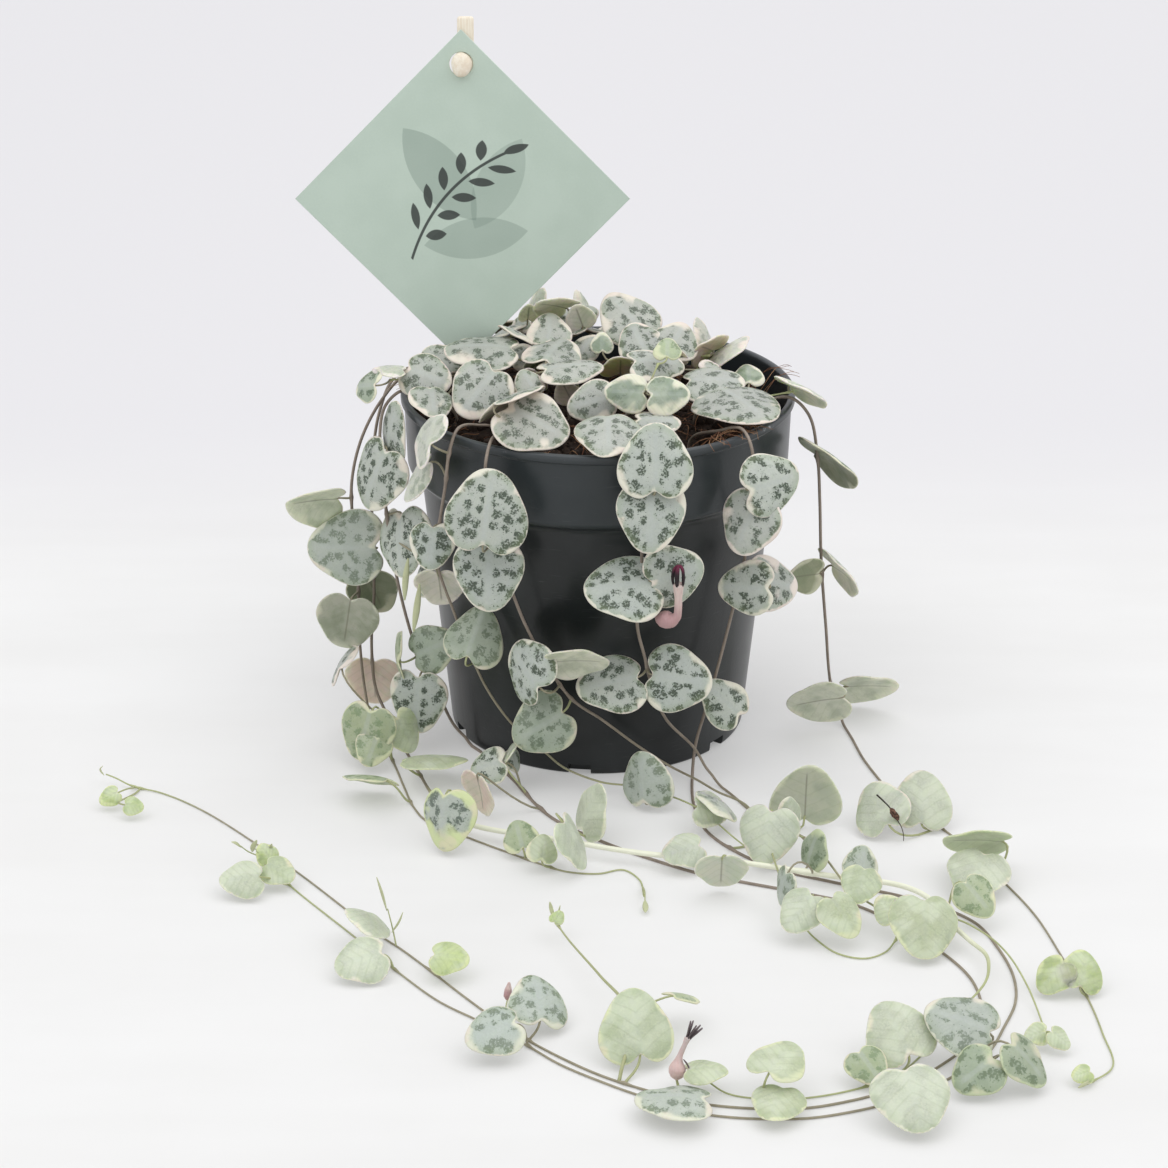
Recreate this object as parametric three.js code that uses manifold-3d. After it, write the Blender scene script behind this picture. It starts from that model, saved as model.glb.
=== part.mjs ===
// String of hearts in a 10.5 cm nursery pot, with its plant label.
// Units are millimetres. +Z is up, the origin is the middle of the pot's flat underside,
// and -Y is the side that most of the stems trail towards.

import * as THREE from 'three';
import { mergeVertices } from 'three/addons/utils/BufferGeometryUtils.js';
import Module from 'manifold-3d';

const wasm = await Module();
wasm.setup();

// ---------------------------------------------------------------- driving dimensions

const potHeight = 95;
const rimRadius = 52.5;
const bandHeight = 21;
const bandRadius = 51;
const stepHeight = 2;
const shoulderRadius = 47.5;
const baseRadius = 40.2;
const potWall = 1.3;
const potFloor = 2;
const potSides = 32;

const slotCount = 6;
const slotSize = [6, 6, 3.2];
const slotStart = -97;
const drainCount = 4;
const drainRadius = 3;
const drainRing = 20;
const drainSides = 8;

const clearance = 0.3;
const soilTop = 86.5;
const soilSides = 24;
const soilRings = [0.7, 0.4];
const moundHeight = 1;
const rootHoleSides = 5;
const rootHoleTop = 92;

const stemRadius = 0.75;
const stemSides = 3;
const footStep = 2;
const underBladeCost = 0.7;
const stalkHalfWidth = 0.25;
const stalkRadius = 0.45;
const leafThickness = 0.8;

// Angles of the edge points on one side of a leaf, in degrees from the tip to the notch.
// A leaf has the finest edge that its width calls for.
const leafEdges = [
  { from: 12, side: [0, 38, 75, 112, 148, 173] },
  { from: 8, side: [0, 50, 100, 145, 171] },
  { from: 0, side: [0, 60, 120, 168] },
];

const bulbSides = 6;
const tubeRadius = 0.95;
const throatRadius = 1.6;
const throatLength = 3;
const cageRibs = 4;
const cageHeight = 5;
const cageGirth = 1.75;
const cageKnob = 0.8;
const ribRadius = 0.45;

const cardSide = 63;
const cardThickness = 0.8;
const cardLean = 8;
const cardMiddle = [-36, 19, 141.5];
const cardHoleRadius = 3.6;
const cardHoleInset = 9;
const stakeWidth = 4.4;
const stakeThickness = 2.2;
const stakeBottom = 66;
const stakeTop = 190;
const pegRadius = 1.6;
const pegSides = 10;
const pegLength = 5;

// ---------------------------------------------------------------- finishes

function finish(color, roughness) {
  return new THREE.MeshStandardMaterial({ color, roughness, metalness: 0 });
}

const finishes = {
  pot: finish(0x3a4046, 0.5),
  soil: finish(0x3b2a20, 1),
  vine: finish(0xa9b8a4, 0.55),
  crown: finish(0xb4c0b2, 0.55),
  bloom: finish(0xdcb9bd, 0.6),
  cage: finish(0x3a1626, 0.6),
  dry: finish(0x5a3526, 0.9),
  card: finish(0xa3b5a6, 0.8),
  stake: finish(0xc9b49a, 0.8),
};

// ---------------------------------------------------------------- solids

// A closed geometry as a solid that can be joined and cut.
function toSolid(geometry) {
  const bare = geometry.clone();
  bare.deleteAttribute('normal');
  bare.deleteAttribute('uv');
  const merged = mergeVertices(bare, 1e-4);
  return new wasm.Manifold(new wasm.Mesh({
    numProp: 3,
    vertProperties: merged.attributes.position.array,
    triVerts: new Uint32Array(merged.index.array),
  }));
}

function toGeometry(solid) {
  const mesh = solid.getMesh();
  const geometry = new THREE.BufferGeometry();
  geometry.setAttribute('position', new THREE.BufferAttribute(mesh.vertProperties, 3));
  geometry.setIndex(new THREE.BufferAttribute(mesh.triVerts, 1));
  geometry.computeVertexNormals();
  return geometry;
}

// Pieces joined to one body. A pocket closed in by the joining is filled, and a loose
// scrap is left out.
function join(solids) {
  const bodies = solids.reduce((whole, piece) => whole.add(piece)).decompose();
  return bodies.reduce((best, body) => (body.volume() > best.volume() ? body : best));
}

function point(values) {
  return new THREE.Vector3(...values);
}

// A smooth route through given points, whose even steps fall on those points.
class Route extends THREE.CatmullRomCurve3 {
  constructor(places) {
    super(places.map(point), false, 'centripetal');
  }

  getPointAt(share, target) {
    return this.getPoint(share, target);
  }

  getTangentAt(share, target) {
    return this.getTangent(share, target);
  }
}

// A round bar of few sides that follows a curve.
function bar(curve, radius, sides, steps) {
  const section = new THREE.Shape();
  for (let i = 0; i < sides; i += 1) {
    const angle = (2 * Math.PI * i) / sides;
    const corner = [radius * Math.cos(angle), radius * Math.sin(angle)];
    if (i === 0) section.moveTo(...corner);
    else section.lineTo(...corner);
  }
  section.closePath();
  return toSolid(new THREE.ExtrudeGeometry(section, { steps, extrudePath: curve, curveSegments: 1 }));
}

// A shape turned about the Z axis from a closed outline of [radius, height] pairs.
function turned(outline, sides) {
  const profile = outline.map(([radius, height]) => new THREE.Vector2(radius, height));
  const geometry = new THREE.LatheGeometry(profile, sides);
  geometry.rotateX(Math.PI / 2);
  return geometry;
}

// ---------------------------------------------------------------- one leaf

// Distance of the leaf's edge from its middle, for a leaf one unit wide. The angle is
// measured from the tip: a round blade drawn out to a soft tip, with two full lobes
// and a notch between them where the stalk joins.
function edgeDistance(angle) {
  const blade = 0.4975 - 0.061 * Math.cos(angle)
    + 0.0225 * Math.cos(2 * angle) + 0.041 * Math.cos(3 * angle);
  const fromNotch = (Math.PI - Math.abs(angle)) / 0.35;
  return blade - 0.2 * Math.exp(-fromNotch * fromNotch);
}

// Height of the blade over the plane of its edge: a low dome, folded along the midrib.
function bladeHeight(across, along, fold) {
  return 0.05 - 0.2 * (across * across + along * along) - fold * Math.abs(across);
}

// The directions of a leaf. turn swings its face round from -Y towards +X, lift tips the
// face up, and clock turns the tip clockwise from the top as seen from the face.
function leafFrame(turn, lift, clock) {
  const t = THREE.MathUtils.degToRad(turn);
  const l = THREE.MathUtils.degToRad(lift);
  const c = THREE.MathUtils.degToRad(clock);
  const face = point([Math.cos(l) * Math.sin(t), -Math.cos(l) * Math.cos(t), Math.sin(l)]);
  const top = point([-Math.sin(l) * Math.sin(t), Math.sin(l) * Math.cos(t), Math.cos(l)]);
  const side = point([Math.cos(t), Math.sin(t), 0]);
  const tip = top.multiplyScalar(Math.cos(c)).addScaledVector(side, Math.sin(c));
  return { face, tip, across: tip.clone().cross(face) };
}

// The place on the stems from which a stalk reaches a notch: near it, and for choice behind
// it rather than under the blade.
function stalkFoot(notch, tip, routes) {
  let best = null;
  let leastCost = Infinity;
  for (const { points } of routes) {
    for (let i = 2; i < points.length; i += 1) {
      const steps = Math.ceil(points[i].distanceTo(points[i - 1]) / footStep);
      for (let k = 0; k <= steps; k += 1) {
        const spot = points[i - 1].clone().lerp(points[i], k / steps);
        const reach = spot.clone().sub(notch);
        const cost = reach.length() + underBladeCost * Math.max(0, reach.dot(tip));
        if (cost < leastCost) {
          leastCost = cost;
          best = spot;
        }
      }
    }
  }
  return best;
}

// A heart-shaped blade of even thickness: a fan from its middle on both faces, and a rim.
// The short side of the rim in the notch is drawn out to a stalk that ends in a stem.
function leafSolid(place, routes) {
  const [x, y, z, size, turn, lift, clock, fold = 0.12] = place;
  const { face, tip, across } = leafFrame(turn, lift, clock);
  const { side } = leafEdges.find(({ from }) => size >= from);
  const angles = [...side, ...side.slice(1).reverse().map((angle) => -angle)];
  const count = angles.length;
  const middle = point([x, y, z]);
  const top = angles.map(THREE.MathUtils.degToRad).map((angle) => {
    const distance = edgeDistance(angle);
    const right = distance * Math.sin(angle);
    const ahead = distance * Math.cos(angle);
    return middle.clone()
      .addScaledVector(across, size * right)
      .addScaledVector(tip, size * ahead)
      .addScaledVector(face, size * bladeHeight(right, ahead, fold));
  });
  top.push(middle.clone().addScaledVector(face, size * bladeHeight(0, 0, fold)));
  const under = top.map((corner) => corner.clone().addScaledVector(face, -leafThickness));

  const below = count + 1;
  const left = side.length - 1;
  const right = left + 1;
  const root = [left, right, below + right, below + left];
  const notch = top[left].clone().add(under[right]).multiplyScalar(0.5);
  const foot = stalkFoot(notch, tip, routes);
  const reach = foot.clone().sub(notch).normalize();
  const bend = new THREE.Quaternion().setFromUnitVectors(tip.clone().negate(), reach);
  const wide = across.clone().applyQuaternion(bend).multiplyScalar(stalkHalfWidth);
  const deep = face.clone().applyQuaternion(bend).multiplyScalar(stalkHalfWidth);
  const end = [[1, 1], [-1, 1], [-1, -1], [1, -1]].map(([u, v]) => (
    foot.clone().addScaledVector(wide, u).addScaledVector(deep, v)
  ));
  const first = 2 * below;

  const triangles = [];
  for (let i = 0; i < count; i += 1) {
    const next = (i + 1) % count;
    triangles.push(count, next, i);
    triangles.push(below + count, below + i, below + next);
    if (i !== left) triangles.push(i, next, below + next, i, below + next, below + i);
  }
  for (let k = 0; k < root.length; k += 1) {
    const next = (k + 1) % root.length;
    triangles.push(root[k], root[next], first + next, root[k], first + next, first + k);
  }
  triangles.push(first, first + 1, first + 2, first, first + 2, first + 3);

  const geometry = new THREE.BufferGeometry();
  const positions = [...top, ...under, ...end].flatMap((corner) => corner.toArray());
  geometry.setAttribute('position', new THREE.Float32BufferAttribute(positions, 3));
  geometry.setIndex(triangles);
  return toSolid(geometry);
}

// ---------------------------------------------------------------- one leafy growth

// Stems along their routes, with every leaf joined on by its stalk, as one solid.
function leafySolid({ stems, leaves }) {
  const routes = stems.map((places) => new Route(places));
  const pieces = routes.map((route) => bar(route, stemRadius, stemSides, route.points.length - 1));
  for (const leaf of leaves) pieces.push(leafSolid(leaf, routes));
  return join(pieces);
}

// Routes start in the soil. Each leaf is [x, y, z, width, turn, lift, clock, fold], where
// x, y and z are its middle.

const growths = [
  {
    name: 'vine_right',
    finish: finishes.vine,
    stems: [[
      [34, -6, 79], [34, -6, 89], [43, -10.5, 94.5], [50.4, -13.8, 97], [55.5, -14, 92], [58, -14, 80],
      [59, -13, 68], [60, -12, 50], [62, -10, 30], [64, -9, 12], [67, -9, 2.5], [69, -17, 1.2],
      [72, -34, 1.2], [80, -59, 1.2], [90, -75, 1.2], [100, -99, 1.2], [106, -117, 1.2],
      [110, -139, 1.2], [113, -157, 1.2], [114, -172, 1.2], [114, -186, 1.2], [107, -194, 1.6],
    ]],
    leaves: [
      [62, -17, 80, 20, 120, 38, 270],
      [55, -17, 48, 11, 200, 10, 90],
      [66, -13, 47, 16, 112, 30, 270],
      [60, -15, 10, 17.5, 180, 25, 105],
      [75, -3, 9, 17, 180, 40, 270],
      [72, -72, 7.3, 16, -40, 55, 310],
      [83, -70, 8, 16, 0, 45, 5],
      [94, -94, 9, 17, 180, 40, 90],
      [93, -106, 6, 16, 0, 68, 200],
      [105, -154, 5, 10, -30, 50, 200],
      [112, -153, 6, 10.5, 20, 50, 30],
      [106, -193, 3, 5, 0, 60, 250],
    ],
  },
  {
    name: 'vine_right_front',
    finish: finishes.vine,
    stems: [[
      [24, -24, 79], [24, -24, 89], [31, -32, 94.5], [36.5, -37.5, 97], [39, -42, 93],
      [39, -43, 84], [38, -39, 72], [38, -36, 60], [35, -36, 45], [32, -37, 32], [29, -38, 20],
      [26, -38, 8], [25, -44, 1.6], [25, -59, 1.2], [28, -74, 1.2], [36, -86, 1.2], [45, -94, 1.2],
      [57, -100, 1.2], [73, -107, 1.2], [82, -112, 1.2], [91, -121, 1.2], [95, -133, 1.2],
      [97, -146, 1.2], [96, -158, 1.2], [92, -169, 1.2], [87, -180, 1.2], [78, -190, 1.2],
      [66, -199, 1.2], [55, -204, 1.2], [42, -207, 1.2], [22, -205, 1.2], [9, -198, 1.2],
      [0, -192, 1.2], [-9, -185, 1.2], [-17, -176.5, 1.2], [-27, -167, 1.2], [-37, -158, 1.2],
      [-47, -145, 1.2], [-60, -126, 1.2], [-76, -103, 1.2], [-84, -91, 2],
    ]],
    leaves: [
      [44, -47, 86, 16, 20, 20, 80],
      [38, -48, 75, 16.5, -25, 20, 195],
      [38, -42, 55, 15, -20, 20, 265],
      [46, -37, 54, 16, 40, 30, 115],
      [33, -43, 23, 14, 20, 30, 320],
      [53, -72, 10.4, 20, 180, 12, 0],
      [91, -122, 8, 11.5, 10, 50, 150],
      [93.5, -194.5, 7, 13, 50, 45, 170],
      [82, -197, 6, 12, -20, 50, 220],
      [67, -209, 7, 17.5, 0, 65, 170],
      [15.5, -205.5, 4.6, 17, 180, 84, 90],
      [-24, -182, 7, 13.5, 0, 60, 245],
      [-56, -146.5, 5, 13, 0, 62, 250],
      [-88, -107, 5, 11, 0, 60, 260],
      [-79, -103, 5, 9, 0, 60, 120],
      [-83, -94, 5, 6, 20, 40, 330],
    ],
  },
  {
    name: 'vine_front',
    finish: finishes.vine,
    stems: [[
      [10, -28, 79], [10, -28, 89], [12, -42, 94.5], [12.7, -50.4, 97.2], [13, -56, 92], [12, -55, 80],
      [11, -52, 70], [11, -52, 60], [10, -50, 48], [12, -48, 38], [14, -47, 29], [18, -44, 18],
      [25.5, -42, 8.8], [29, -44, 3.4], [33, -49, 1.2], [40, -63, 1.2], [45, -74, 1.2],
      [50, -82, 4.4], [56, -96, 5.2],
      [61, -112, 5.2], [67, -122, 5.2], [75, -128, 5.2], [84, -127, 5.2], [91, -134, 5.2],
      [96, -145, 5], [100, -160, 2], [101, -175, 1.6],
    ]],
    leaves: [
      [14, -60, 97, 19, 0, 23, 0],
      [13, -62, 82.5, 18.5, 0, 20, 180],
      [6, -58, 62, 20, 0, 52, 262],
      [19.5, -56, 64.5, 16, 15, 15, 80],
      [3, -52.4, 32.4, 18, 0, 50, 255],
      [21, -52, 33.5, 17.5, 0, 30, 98],
      [48, -86, 12, 9, 40, 10, 0],
      [63, -119, 10, 11, 0, 60, 200],
      [77, -135, 7.3, 17, 10, 52, 190],
      [98, -178, 4, 6, 0, 50, 250],
      [103, -180, 4, 6, 30, 50, 150],
    ],
  },
  {
    name: 'vine_front_left',
    finish: finishes.vine,
    stems: [[
      [-20, -24, 79], [-20, -24, 89], [-24, -36, 94.5], [-27, -45, 97], [-28.5, -50, 92],
      [-28, -49, 82], [-27, -47, 68], [-23, -47, 58], [-19, -47, 47], [-14, -48, 37],
      [-7, -48, 26], [1, -46, 19], [11, -44, 10], [19, -43, 4], [26, -50, 3.4], [31, -58, 4],
      [38, -68, 5.2], [42, -84, 5.2], [44, -102, 5.2], [47, -120, 3], [52, -129, 1.2],
      [57, -136, 1.2], [63, -138, 1.2], [68, -135, 1.2], [71, -130, 1.6],
    ]],
    leaves: [
      [-28, -56, 82, 21.5, 0, 20, 8],
      [-28, -52, 62.5, 19, 0, 18, 180],
      [-5.5, -57, 41.2, 17, 180, 40, 270],
      [-18.5, -54, 37.5, 17, -50, 15, 300],
      [-15, -52, 20, 17, -10, 20, 235],
      [42, -92, 9, 15, -20, 30, 180],
      [48, -129, 8, 12, -20, 50, 200],
      [58, -131, 8, 12, 30, 50, 170],
      [69, -125, 7, 8, -30, 50, 300],
    ],
  },
  {
    name: 'vine_left_front',
    finish: finishes.vine,
    stems: [[
      [-26, -18, 79], [-26, -18, 89], [-31, -28, 94.5], [-36, -38, 97], [-38, -42, 92],
      [-39, -43, 84], [-41, -38, 71], [-42, -33, 58], [-38, -34, 45], [-34, -35, 34],
      [-29, -37, 23], [-22, -40, 14], [-14, -43, 8], [-9, -46, 5], [1, -51, 3.2], [8, -53, 3.2],
      [16, -57, 3.2], [25, -65, 3.2], [34, -82, 3.4], [37, -88, 3.6],
    ]],
    leaves: [
      [-44, -38, 95, 15, -75, 30, 270],
      [-47, -34, 82, 13.5, -75, 30, 190],
      [-43, -41, 66, 12.5, -10, 20, 180],
      [-32, -42, 42, 16, 0, 40, 20, 0.6],
      [11.5, -61, 9, 15, -30, 15, 350, 0.4],
      [31, -74, 8, 13, 100, 55, 270],
      [29, -74, 7, 10, 30, 40, 120],
    ],
  },
  {
    name: 'vine_left',
    finish: finishes.vine,
    stems: [
      [
        [-38, -4, 79], [-38, -4, 89], [-46, -6, 95], [-51.5, -8, 97], [-56, -10, 93.5],
        [-57.5, -12, 87], [-57, -14, 78], [-56, -15, 63], [-54, -16, 48], [-51, -16, 33], [-48, -18, 24],
        [-43, -20, 14], [-39, -22, 6], [-35, -23, 1.8], [-25, -39, 1.2], [-12, -66, 1.2],
        [2, -80, 1.2], [14, -89, 1.2], [25, -96, 1.2], [37, -101, 1.2], [50, -106, 1.2],
        [61, -111, 1.2], [69, -118, 1.2], [75, -126, 1.2], [83, -138, 1.2], [87, -148, 1.2],
        [88, -160, 1.2], [86, -172, 1.2], [78, -183, 1.2], [66, -194, 1.2], [54, -200, 1.2],
        [42, -203, 1.2], [22, -201, 1.2], [9, -195, 1.2], [0, -189.5, 1.2], [-9, -182, 1.2],
        [-17, -174, 1.2], [-26, -163, 1.2], [-47, -134, 1.2], [-52, -128, 1.2], [-74, -97, 1.2],
        [-84, -84, 1.2], [-103, -61.5, 1.2], [-115, -51.5, 1.2], [-123, -48.5, 1.6], [-130, -46, 3],
      ],
      [[4, -192, 1.2], [6, -184, 5], [6, -172, 7], [0, -154, 5], [-8, -134, 4], [-11, -127, 5]],
    ],
    leaves: [
      [-54, -15.5, 89, 16, -62, 5, 20],
      [-58.5, -17, 76, 19, -45, 15, 195],
      [-52, -21, 59, 19, -45, 20, 160],
      [-46, -24, 50, 10.5, -60, 20, 180],
      [-41.5, -30, 50.2, 13, 170, 20, 180],
      [-44, -22, 29, 14, -20, 20, 60],
      [-54, -17, 25, 14.5, -85, 0, 270],
      [-48.5, -26, 14.5, 17, -15, 15, 180],
      [-29, -51, 8, 10.5, -30, 40, 240],
      [-24, -47, 9, 11, -100, 25, 270],
      [-30, -66, 7.5, 13, 130, 10, 180],
      [-22, -44, 6, 7, 60, 20, 180],
      [-2, -78, 9, 15, -60, 20, 10],
      [-6, -96, 9, 15, 75, 25, 180],
      [80, -183.2, 10.4, 17, 10, 65, 300],
      [38, -206.5, 4.4, 12, 0, 80, 200],
      [8, -182, 9, 17.5, 10, 48, 0, 0.3],
      [19, -168, 8, 9, 150, 60, 200],
      [-14, -168, 7, 14, 40, 60, 30],
      [-35, -147, 6, 9.5, 0, 65, 100],
      [-54.5, -133, 7.2, 13, 100, 60, 270],
      [-127, -61, 4, 6, 0, 40, 240],
      [-120, -66, 4, 5.5, 0, 50, 100],
      [-10, -129, 6, 5, 0, 50, 30],
    ],
  },
  {
    name: 'vine_left_outer',
    finish: finishes.vine,
    stems: [[
      [-40, 4, 79], [-40, 4, 89], [-47, 3, 95], [-52, 2, 97], [-57.5, -1, 92], [-63, -3, 82],
      [-66, -4, 70], [-66, -5, 58], [-65, -6, 42], [-65, -7, 25], [-64, -9, 12], [-62, -14, 4],
      [-58, -24, 1.6], [-55, -33, 1.2], [-51, -49, 1.2], [-48, -60, 1.2], [-44, -68, 1.2],
      [-33, -77, 1.2], [-24, -84, 1.2], [-16, -90, 1.2], [-8, -95, 1.2], [0, -96, 1.2],
      [6, -94, 1.2], [10, -99, 1.2], [11, -110, 2],
    ]],
    leaves: [
      [-76, -8, 66, 16, 200, 30, 90, 0.4],
      [-68, -11, 53.5, 21, -10, 20, 268],
      [-68, -9, 31, 17, 175, 5, 170],
      [-62, -36, 10.2, 16, -20, 15, 190],
      [-60, -39, 7, 10, 0, 30, 200],
      [-60, -56, 7, 15, 170, 60, 110],
      [-20, -86, 6, 9, -20, 50, 330],
      [-14, -93, 6, 8, 20, 50, 20],
    ],
  },
  {
    name: 'vine_pale',
    finish: finishes.vine,
    stems: [[
      [-43, 13, 79], [-43, 13, 89], [-47, 12, 95], [-51, 10, 97], [-55.5, 7.5, 94],
      [-58.5, 5, 87], [-60, 3, 80], [-61, 0, 67], [-61, -2, 52], [-61, -3, 36], [-62, -4, 22],
      [-61, -7, 10], [-57, -14, 4],
      [-52, -28, 2], [-47, -44, 2], [-43, -57, 2.4], [-34, -74, 3.2], [-10, -84, 3.6],
      [10, -91, 3.6], [35, -96, 3.6], [57, -103, 3.6], [74, -108, 3.6], [80, -114, 3.6],
      [84, -126, 3.6], [88, -135, 3.4], [91, -141, 3.2], [91, -147, 3.2], [89, -155, 3.4],
      [83, -164, 2.4], [77, -172, 1.2], [72, -181, 1.2], [65, -190, 1.2], [54, -196, 1.2],
      [43, -199, 1.2], [35, -199, 1.2], [28, -197, 1.2], [23, -193, 2],
    ]],
    leaves: [
      [-61, 0.5, 35.7, 14, 180, 10, 200],
      [-69, -15.5, 22, 13, -95, 36, 270],
      [-61.5, -3.5, 10.8, 16, 175, 10, 180],
      [-51.5, -33, 9, 12, 40, 20, 160],
      [-43, -47, 8, 18, 180, 75, 270],
      [-39, -84, 9, 16, -30, 20, 170, 0.4],
      [21, -94, 6, 11, 0, 60, 250],
      [30, -107, 7.5, 13.5, 180, 25, 180],
      [53, -99, 9, 10.5, -60, 20, 0],
      [44.5, -116.5, 7.6, 10, -70, 10, 180],
      [65, -102, 7, 9, 20, 40, 20],
      [66, -183, 8, 16, -10, 55, 330],
      [59, -193, 5, 10, 0, 60, 150],
      [39, -197, 9.6, 13, 0, 80, 30],
      [23, -196, 6, 10, 0, 88, 90],
    ],
  },
  {
    name: 'vine_back_left',
    finish: finishes.vine,
    stems: [[
      [-12, 32, 79], [-12, 32, 89], [-13, 43, 94.5], [-14, 50.2, 97], [-15, 56, 92],
      [-15, 55, 80], [-14, 52, 66], [-12, 51, 50], [-10, 49, 36], [-11, 48, 26],
    ]],
    leaves: [
      [-20, 59, 86, 17, 190, 20, 210],
      [-8, 59, 84, 16, 170, 20, 150],
      [-21, 56, 66, 15, 195, 15, 240],
      [-5, 56, 62, 16, 170, 25, 120],
      [-17, 53, 46, 14, 190, 20, 230],
      [-12, 51, 27, 9, 180, 20, 180],
    ],
  },
  {
    name: 'vine_back_right',
    finish: finishes.vine,
    stems: [[
      [10, 30, 79], [10, 30, 89], [13, 41, 94.5], [16, 50, 97], [18, 54, 92],
      [18, 53, 82], [16, 52, 70], [17, 51, 58], [18, 49, 48],
    ]],
    leaves: [
      [12, 60, 84, 16, 185, 20, 190],
      [25, 56, 82, 17, 160, 20, 150],
      [11.5, 56, 64, 15, 190, 25, 230],
      [24, 54, 60, 14, 160, 15, 140],
      [18, 52, 47, 9, 175, 20, 180],
    ],
  },
  {
    name: 'crown_left',
    finish: finishes.crown,
    stems: [
      [[-30, 3, 79], [-30, 3, 90], [-35, 1, 97], [-45, -3, 99], [-55, -7, 99.5]],
      [[-35, 1, 97], [-39, -9, 97], [-41, -18, 96]],
    ],
    leaves: [
      [-45, -8, 101, 14.5, -10, 50, 110],
      [-43, -22, 99, 12.5, 30, 65, 200],
      [-61, -10, 99, 10, -60, 30, 250],
      [-55, -8, 103, 9, 0, 88, 270],
    ],
  },
  {
    name: 'crown_front_left',
    finish: finishes.crown,
    stems: [
      [[-17, -12, 79], [-17, -12, 90], [-19, -20, 96.5], [-20, -30, 97.4], [-18, -38, 97.6]],
    ],
    leaves: [
      [-31, -20, 101, 17, 0, 42, 215],
      [-21.5, -36.5, 105, 18.5, -133, 55, 270],
      [-16.2, -43.2, 101, 19.5, 10, 55, 130],
    ],
  },
  {
    name: 'crown_middle',
    finish: finishes.crown,
    stems: [
      [[-8, 0, 79], [-8, 0, 90], [-12, 2, 99], [-22, 3, 102], [-30, 2, 103]],
      [[-8, 0, 90], [-6, -8, 98.5], [-4, -18, 98.5]],
      [[-12, 2, 99], [-13, 8, 103], [-13, 12, 105]],
    ],
    leaves: [
      [-31, 0, 106, 20, 0, 82, 270],
      [-7, -10, 104, 17.5, 0, 84, 80],
      [-2, -25, 99.8, 13, -10, 40, 250],
      [-13, 11, 108, 12.5, 0, 65, 0],
      [-11.5, 0, 105.5, 17, 10, 85, 30],
      [-22, 9, 107.5, 11, 120, 60, 0],
      [-8, -13, 98.5, 8, 175, 20, 20],
      [-15.5, 0.5, 102, 9, 180, 50, 0],
      [-17.7, -4, 99, 9, 170, 30, 0],
    ],
  },
  {
    name: 'crown_front',
    finish: finishes.crown,
    stems: [
      [[4, -19, 79], [4, -19, 90], [5, -30, 96.5], [4, -38, 97.5]],
      [[5, -28, 95.5], [11, -27, 100.5], [12.5, -27, 104], [15.5, -20, 108.5]],
    ],
    leaves: [
      [2.4, -48, 99.5, 18.6, 0, 75, 180],
      [7, -29, 104, 11.5, -5, 45, 268],
      [18, -31, 104, 11.5, 5, 45, 92],
      [18, -13, 110.5, 7.5, 0, 60, 0],
      [15, -36, 98.7, 12.5, 0, 80, 100],
    ],
  },
  {
    name: 'crown_right',
    finish: finishes.crown,
    stems: [
      [[26, -6, 79], [26, -6, 90], [32, -12, 96.6], [41, -15, 97.4], [51, -14, 98.8]],
    ],
    leaves: [
      [37, -27, 100, 23.5, 0, 84, 150],
      [30.5, -13.5, 101.5, 16.5, 0, 75, 90],
      [40, -1, 99.2, 9, 0, 70, 0],
      [54, -17, 100, 16, 125, 50, 270],
    ],
  },
  {
    name: 'crown_back_right',
    finish: finishes.crown,
    stems: [
      [[14, 10, 79], [14, 10, 90], [15, 6, 100], [16, -3, 102]],
      [[14.2, 9.9, 90.6], [22, 11, 99], [30, 10, 100.5]],
      [[13.9, 10.1, 91.1], [10, 17, 101], [7, 20, 105]],
    ],
    leaves: [
      [15.5, -9, 105, 15.5, 40, 72, 120],
      [11, 6, 106.5, 13.5, -10, 60, 330],
      [21, 7, 106.5, 13.5, 20, 62, 40],
      [8, 19, 109, 17.5, 10, 55, 330],
      [29, 9.5, 103, 13.5, 229, 37, 60],
      [34, 8.5, 101.7, 18, 264, 53, 60],
      [30, 0, 100, 6.5, 20, 40, 100],
      [6, 1, 101, 11.5, 180, 45, 0],
      [21.3, 2.4, 103, 6, 180, 30, 0],
      [1.1, 8.2, 105, 6.8, 0, 50, 0],
      [14.5, 25.5, 100.4, 12.5, 150, 60, 330],
    ],
  },
  {
    name: 'crown_back_left',
    finish: finishes.crown,
    stems: [
      [[-10, 22, 79], [-10, 22, 90], [-12, 20, 102], [-17, 18, 106]],
      [[-9.9, 22.1, 90.6], [-2, 27, 98], [10, 33, 97.5]],
      [[-10.2, 22, 91.2], [-18, 30, 98], [-24, 36, 97.5]],
    ],
    leaves: [
      [-12, 19, 112, 14, 200, 50, 60],
      [-6, 24, 107, 14, -30, 75, 20],
      [-4, 30, 101.5, 15, 170, 70, 0],
      [8, 36, 100.5, 14, 180, 70, 330],
      [-14, 36, 101, 15, 190, 65, 20],
      [-25, 36, 101, 13, 200, 60, 60],
      [-26, 25, 102, 13, 250, 60, 90],
      [20, 33, 100, 12, 150, 65, 300],
      [-21, 26.5, 104, 6.5, -20, 55, 340],
      [-19, 25, 108, 6, 200, 20, 0],
      [-5, 17.5, 109.2, 8.5, 190, 15, 20],
      [-37, 25, 99.5, 13, 230, 70, 60],
    ],
  },
];

// ---------------------------------------------------------------- the pot and its soil

// The wall steps out to the rim band on a short slope.
const stepTop = potHeight - bandHeight + stepHeight / 2;
const stepFoot = stepTop - stepHeight;

function potOutline() {
  return [
    [0, 0],
    [baseRadius, 0],
    [shoulderRadius, stepFoot],
    [bandRadius, stepTop],
    [rimRadius, potHeight],
    [rimRadius - potWall, potHeight],
    [bandRadius - potWall, stepTop],
    [shoulderRadius - potWall, stepFoot],
    [baseRadius - potWall, potFloor],
    [0, potFloor],
  ];
}

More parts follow.
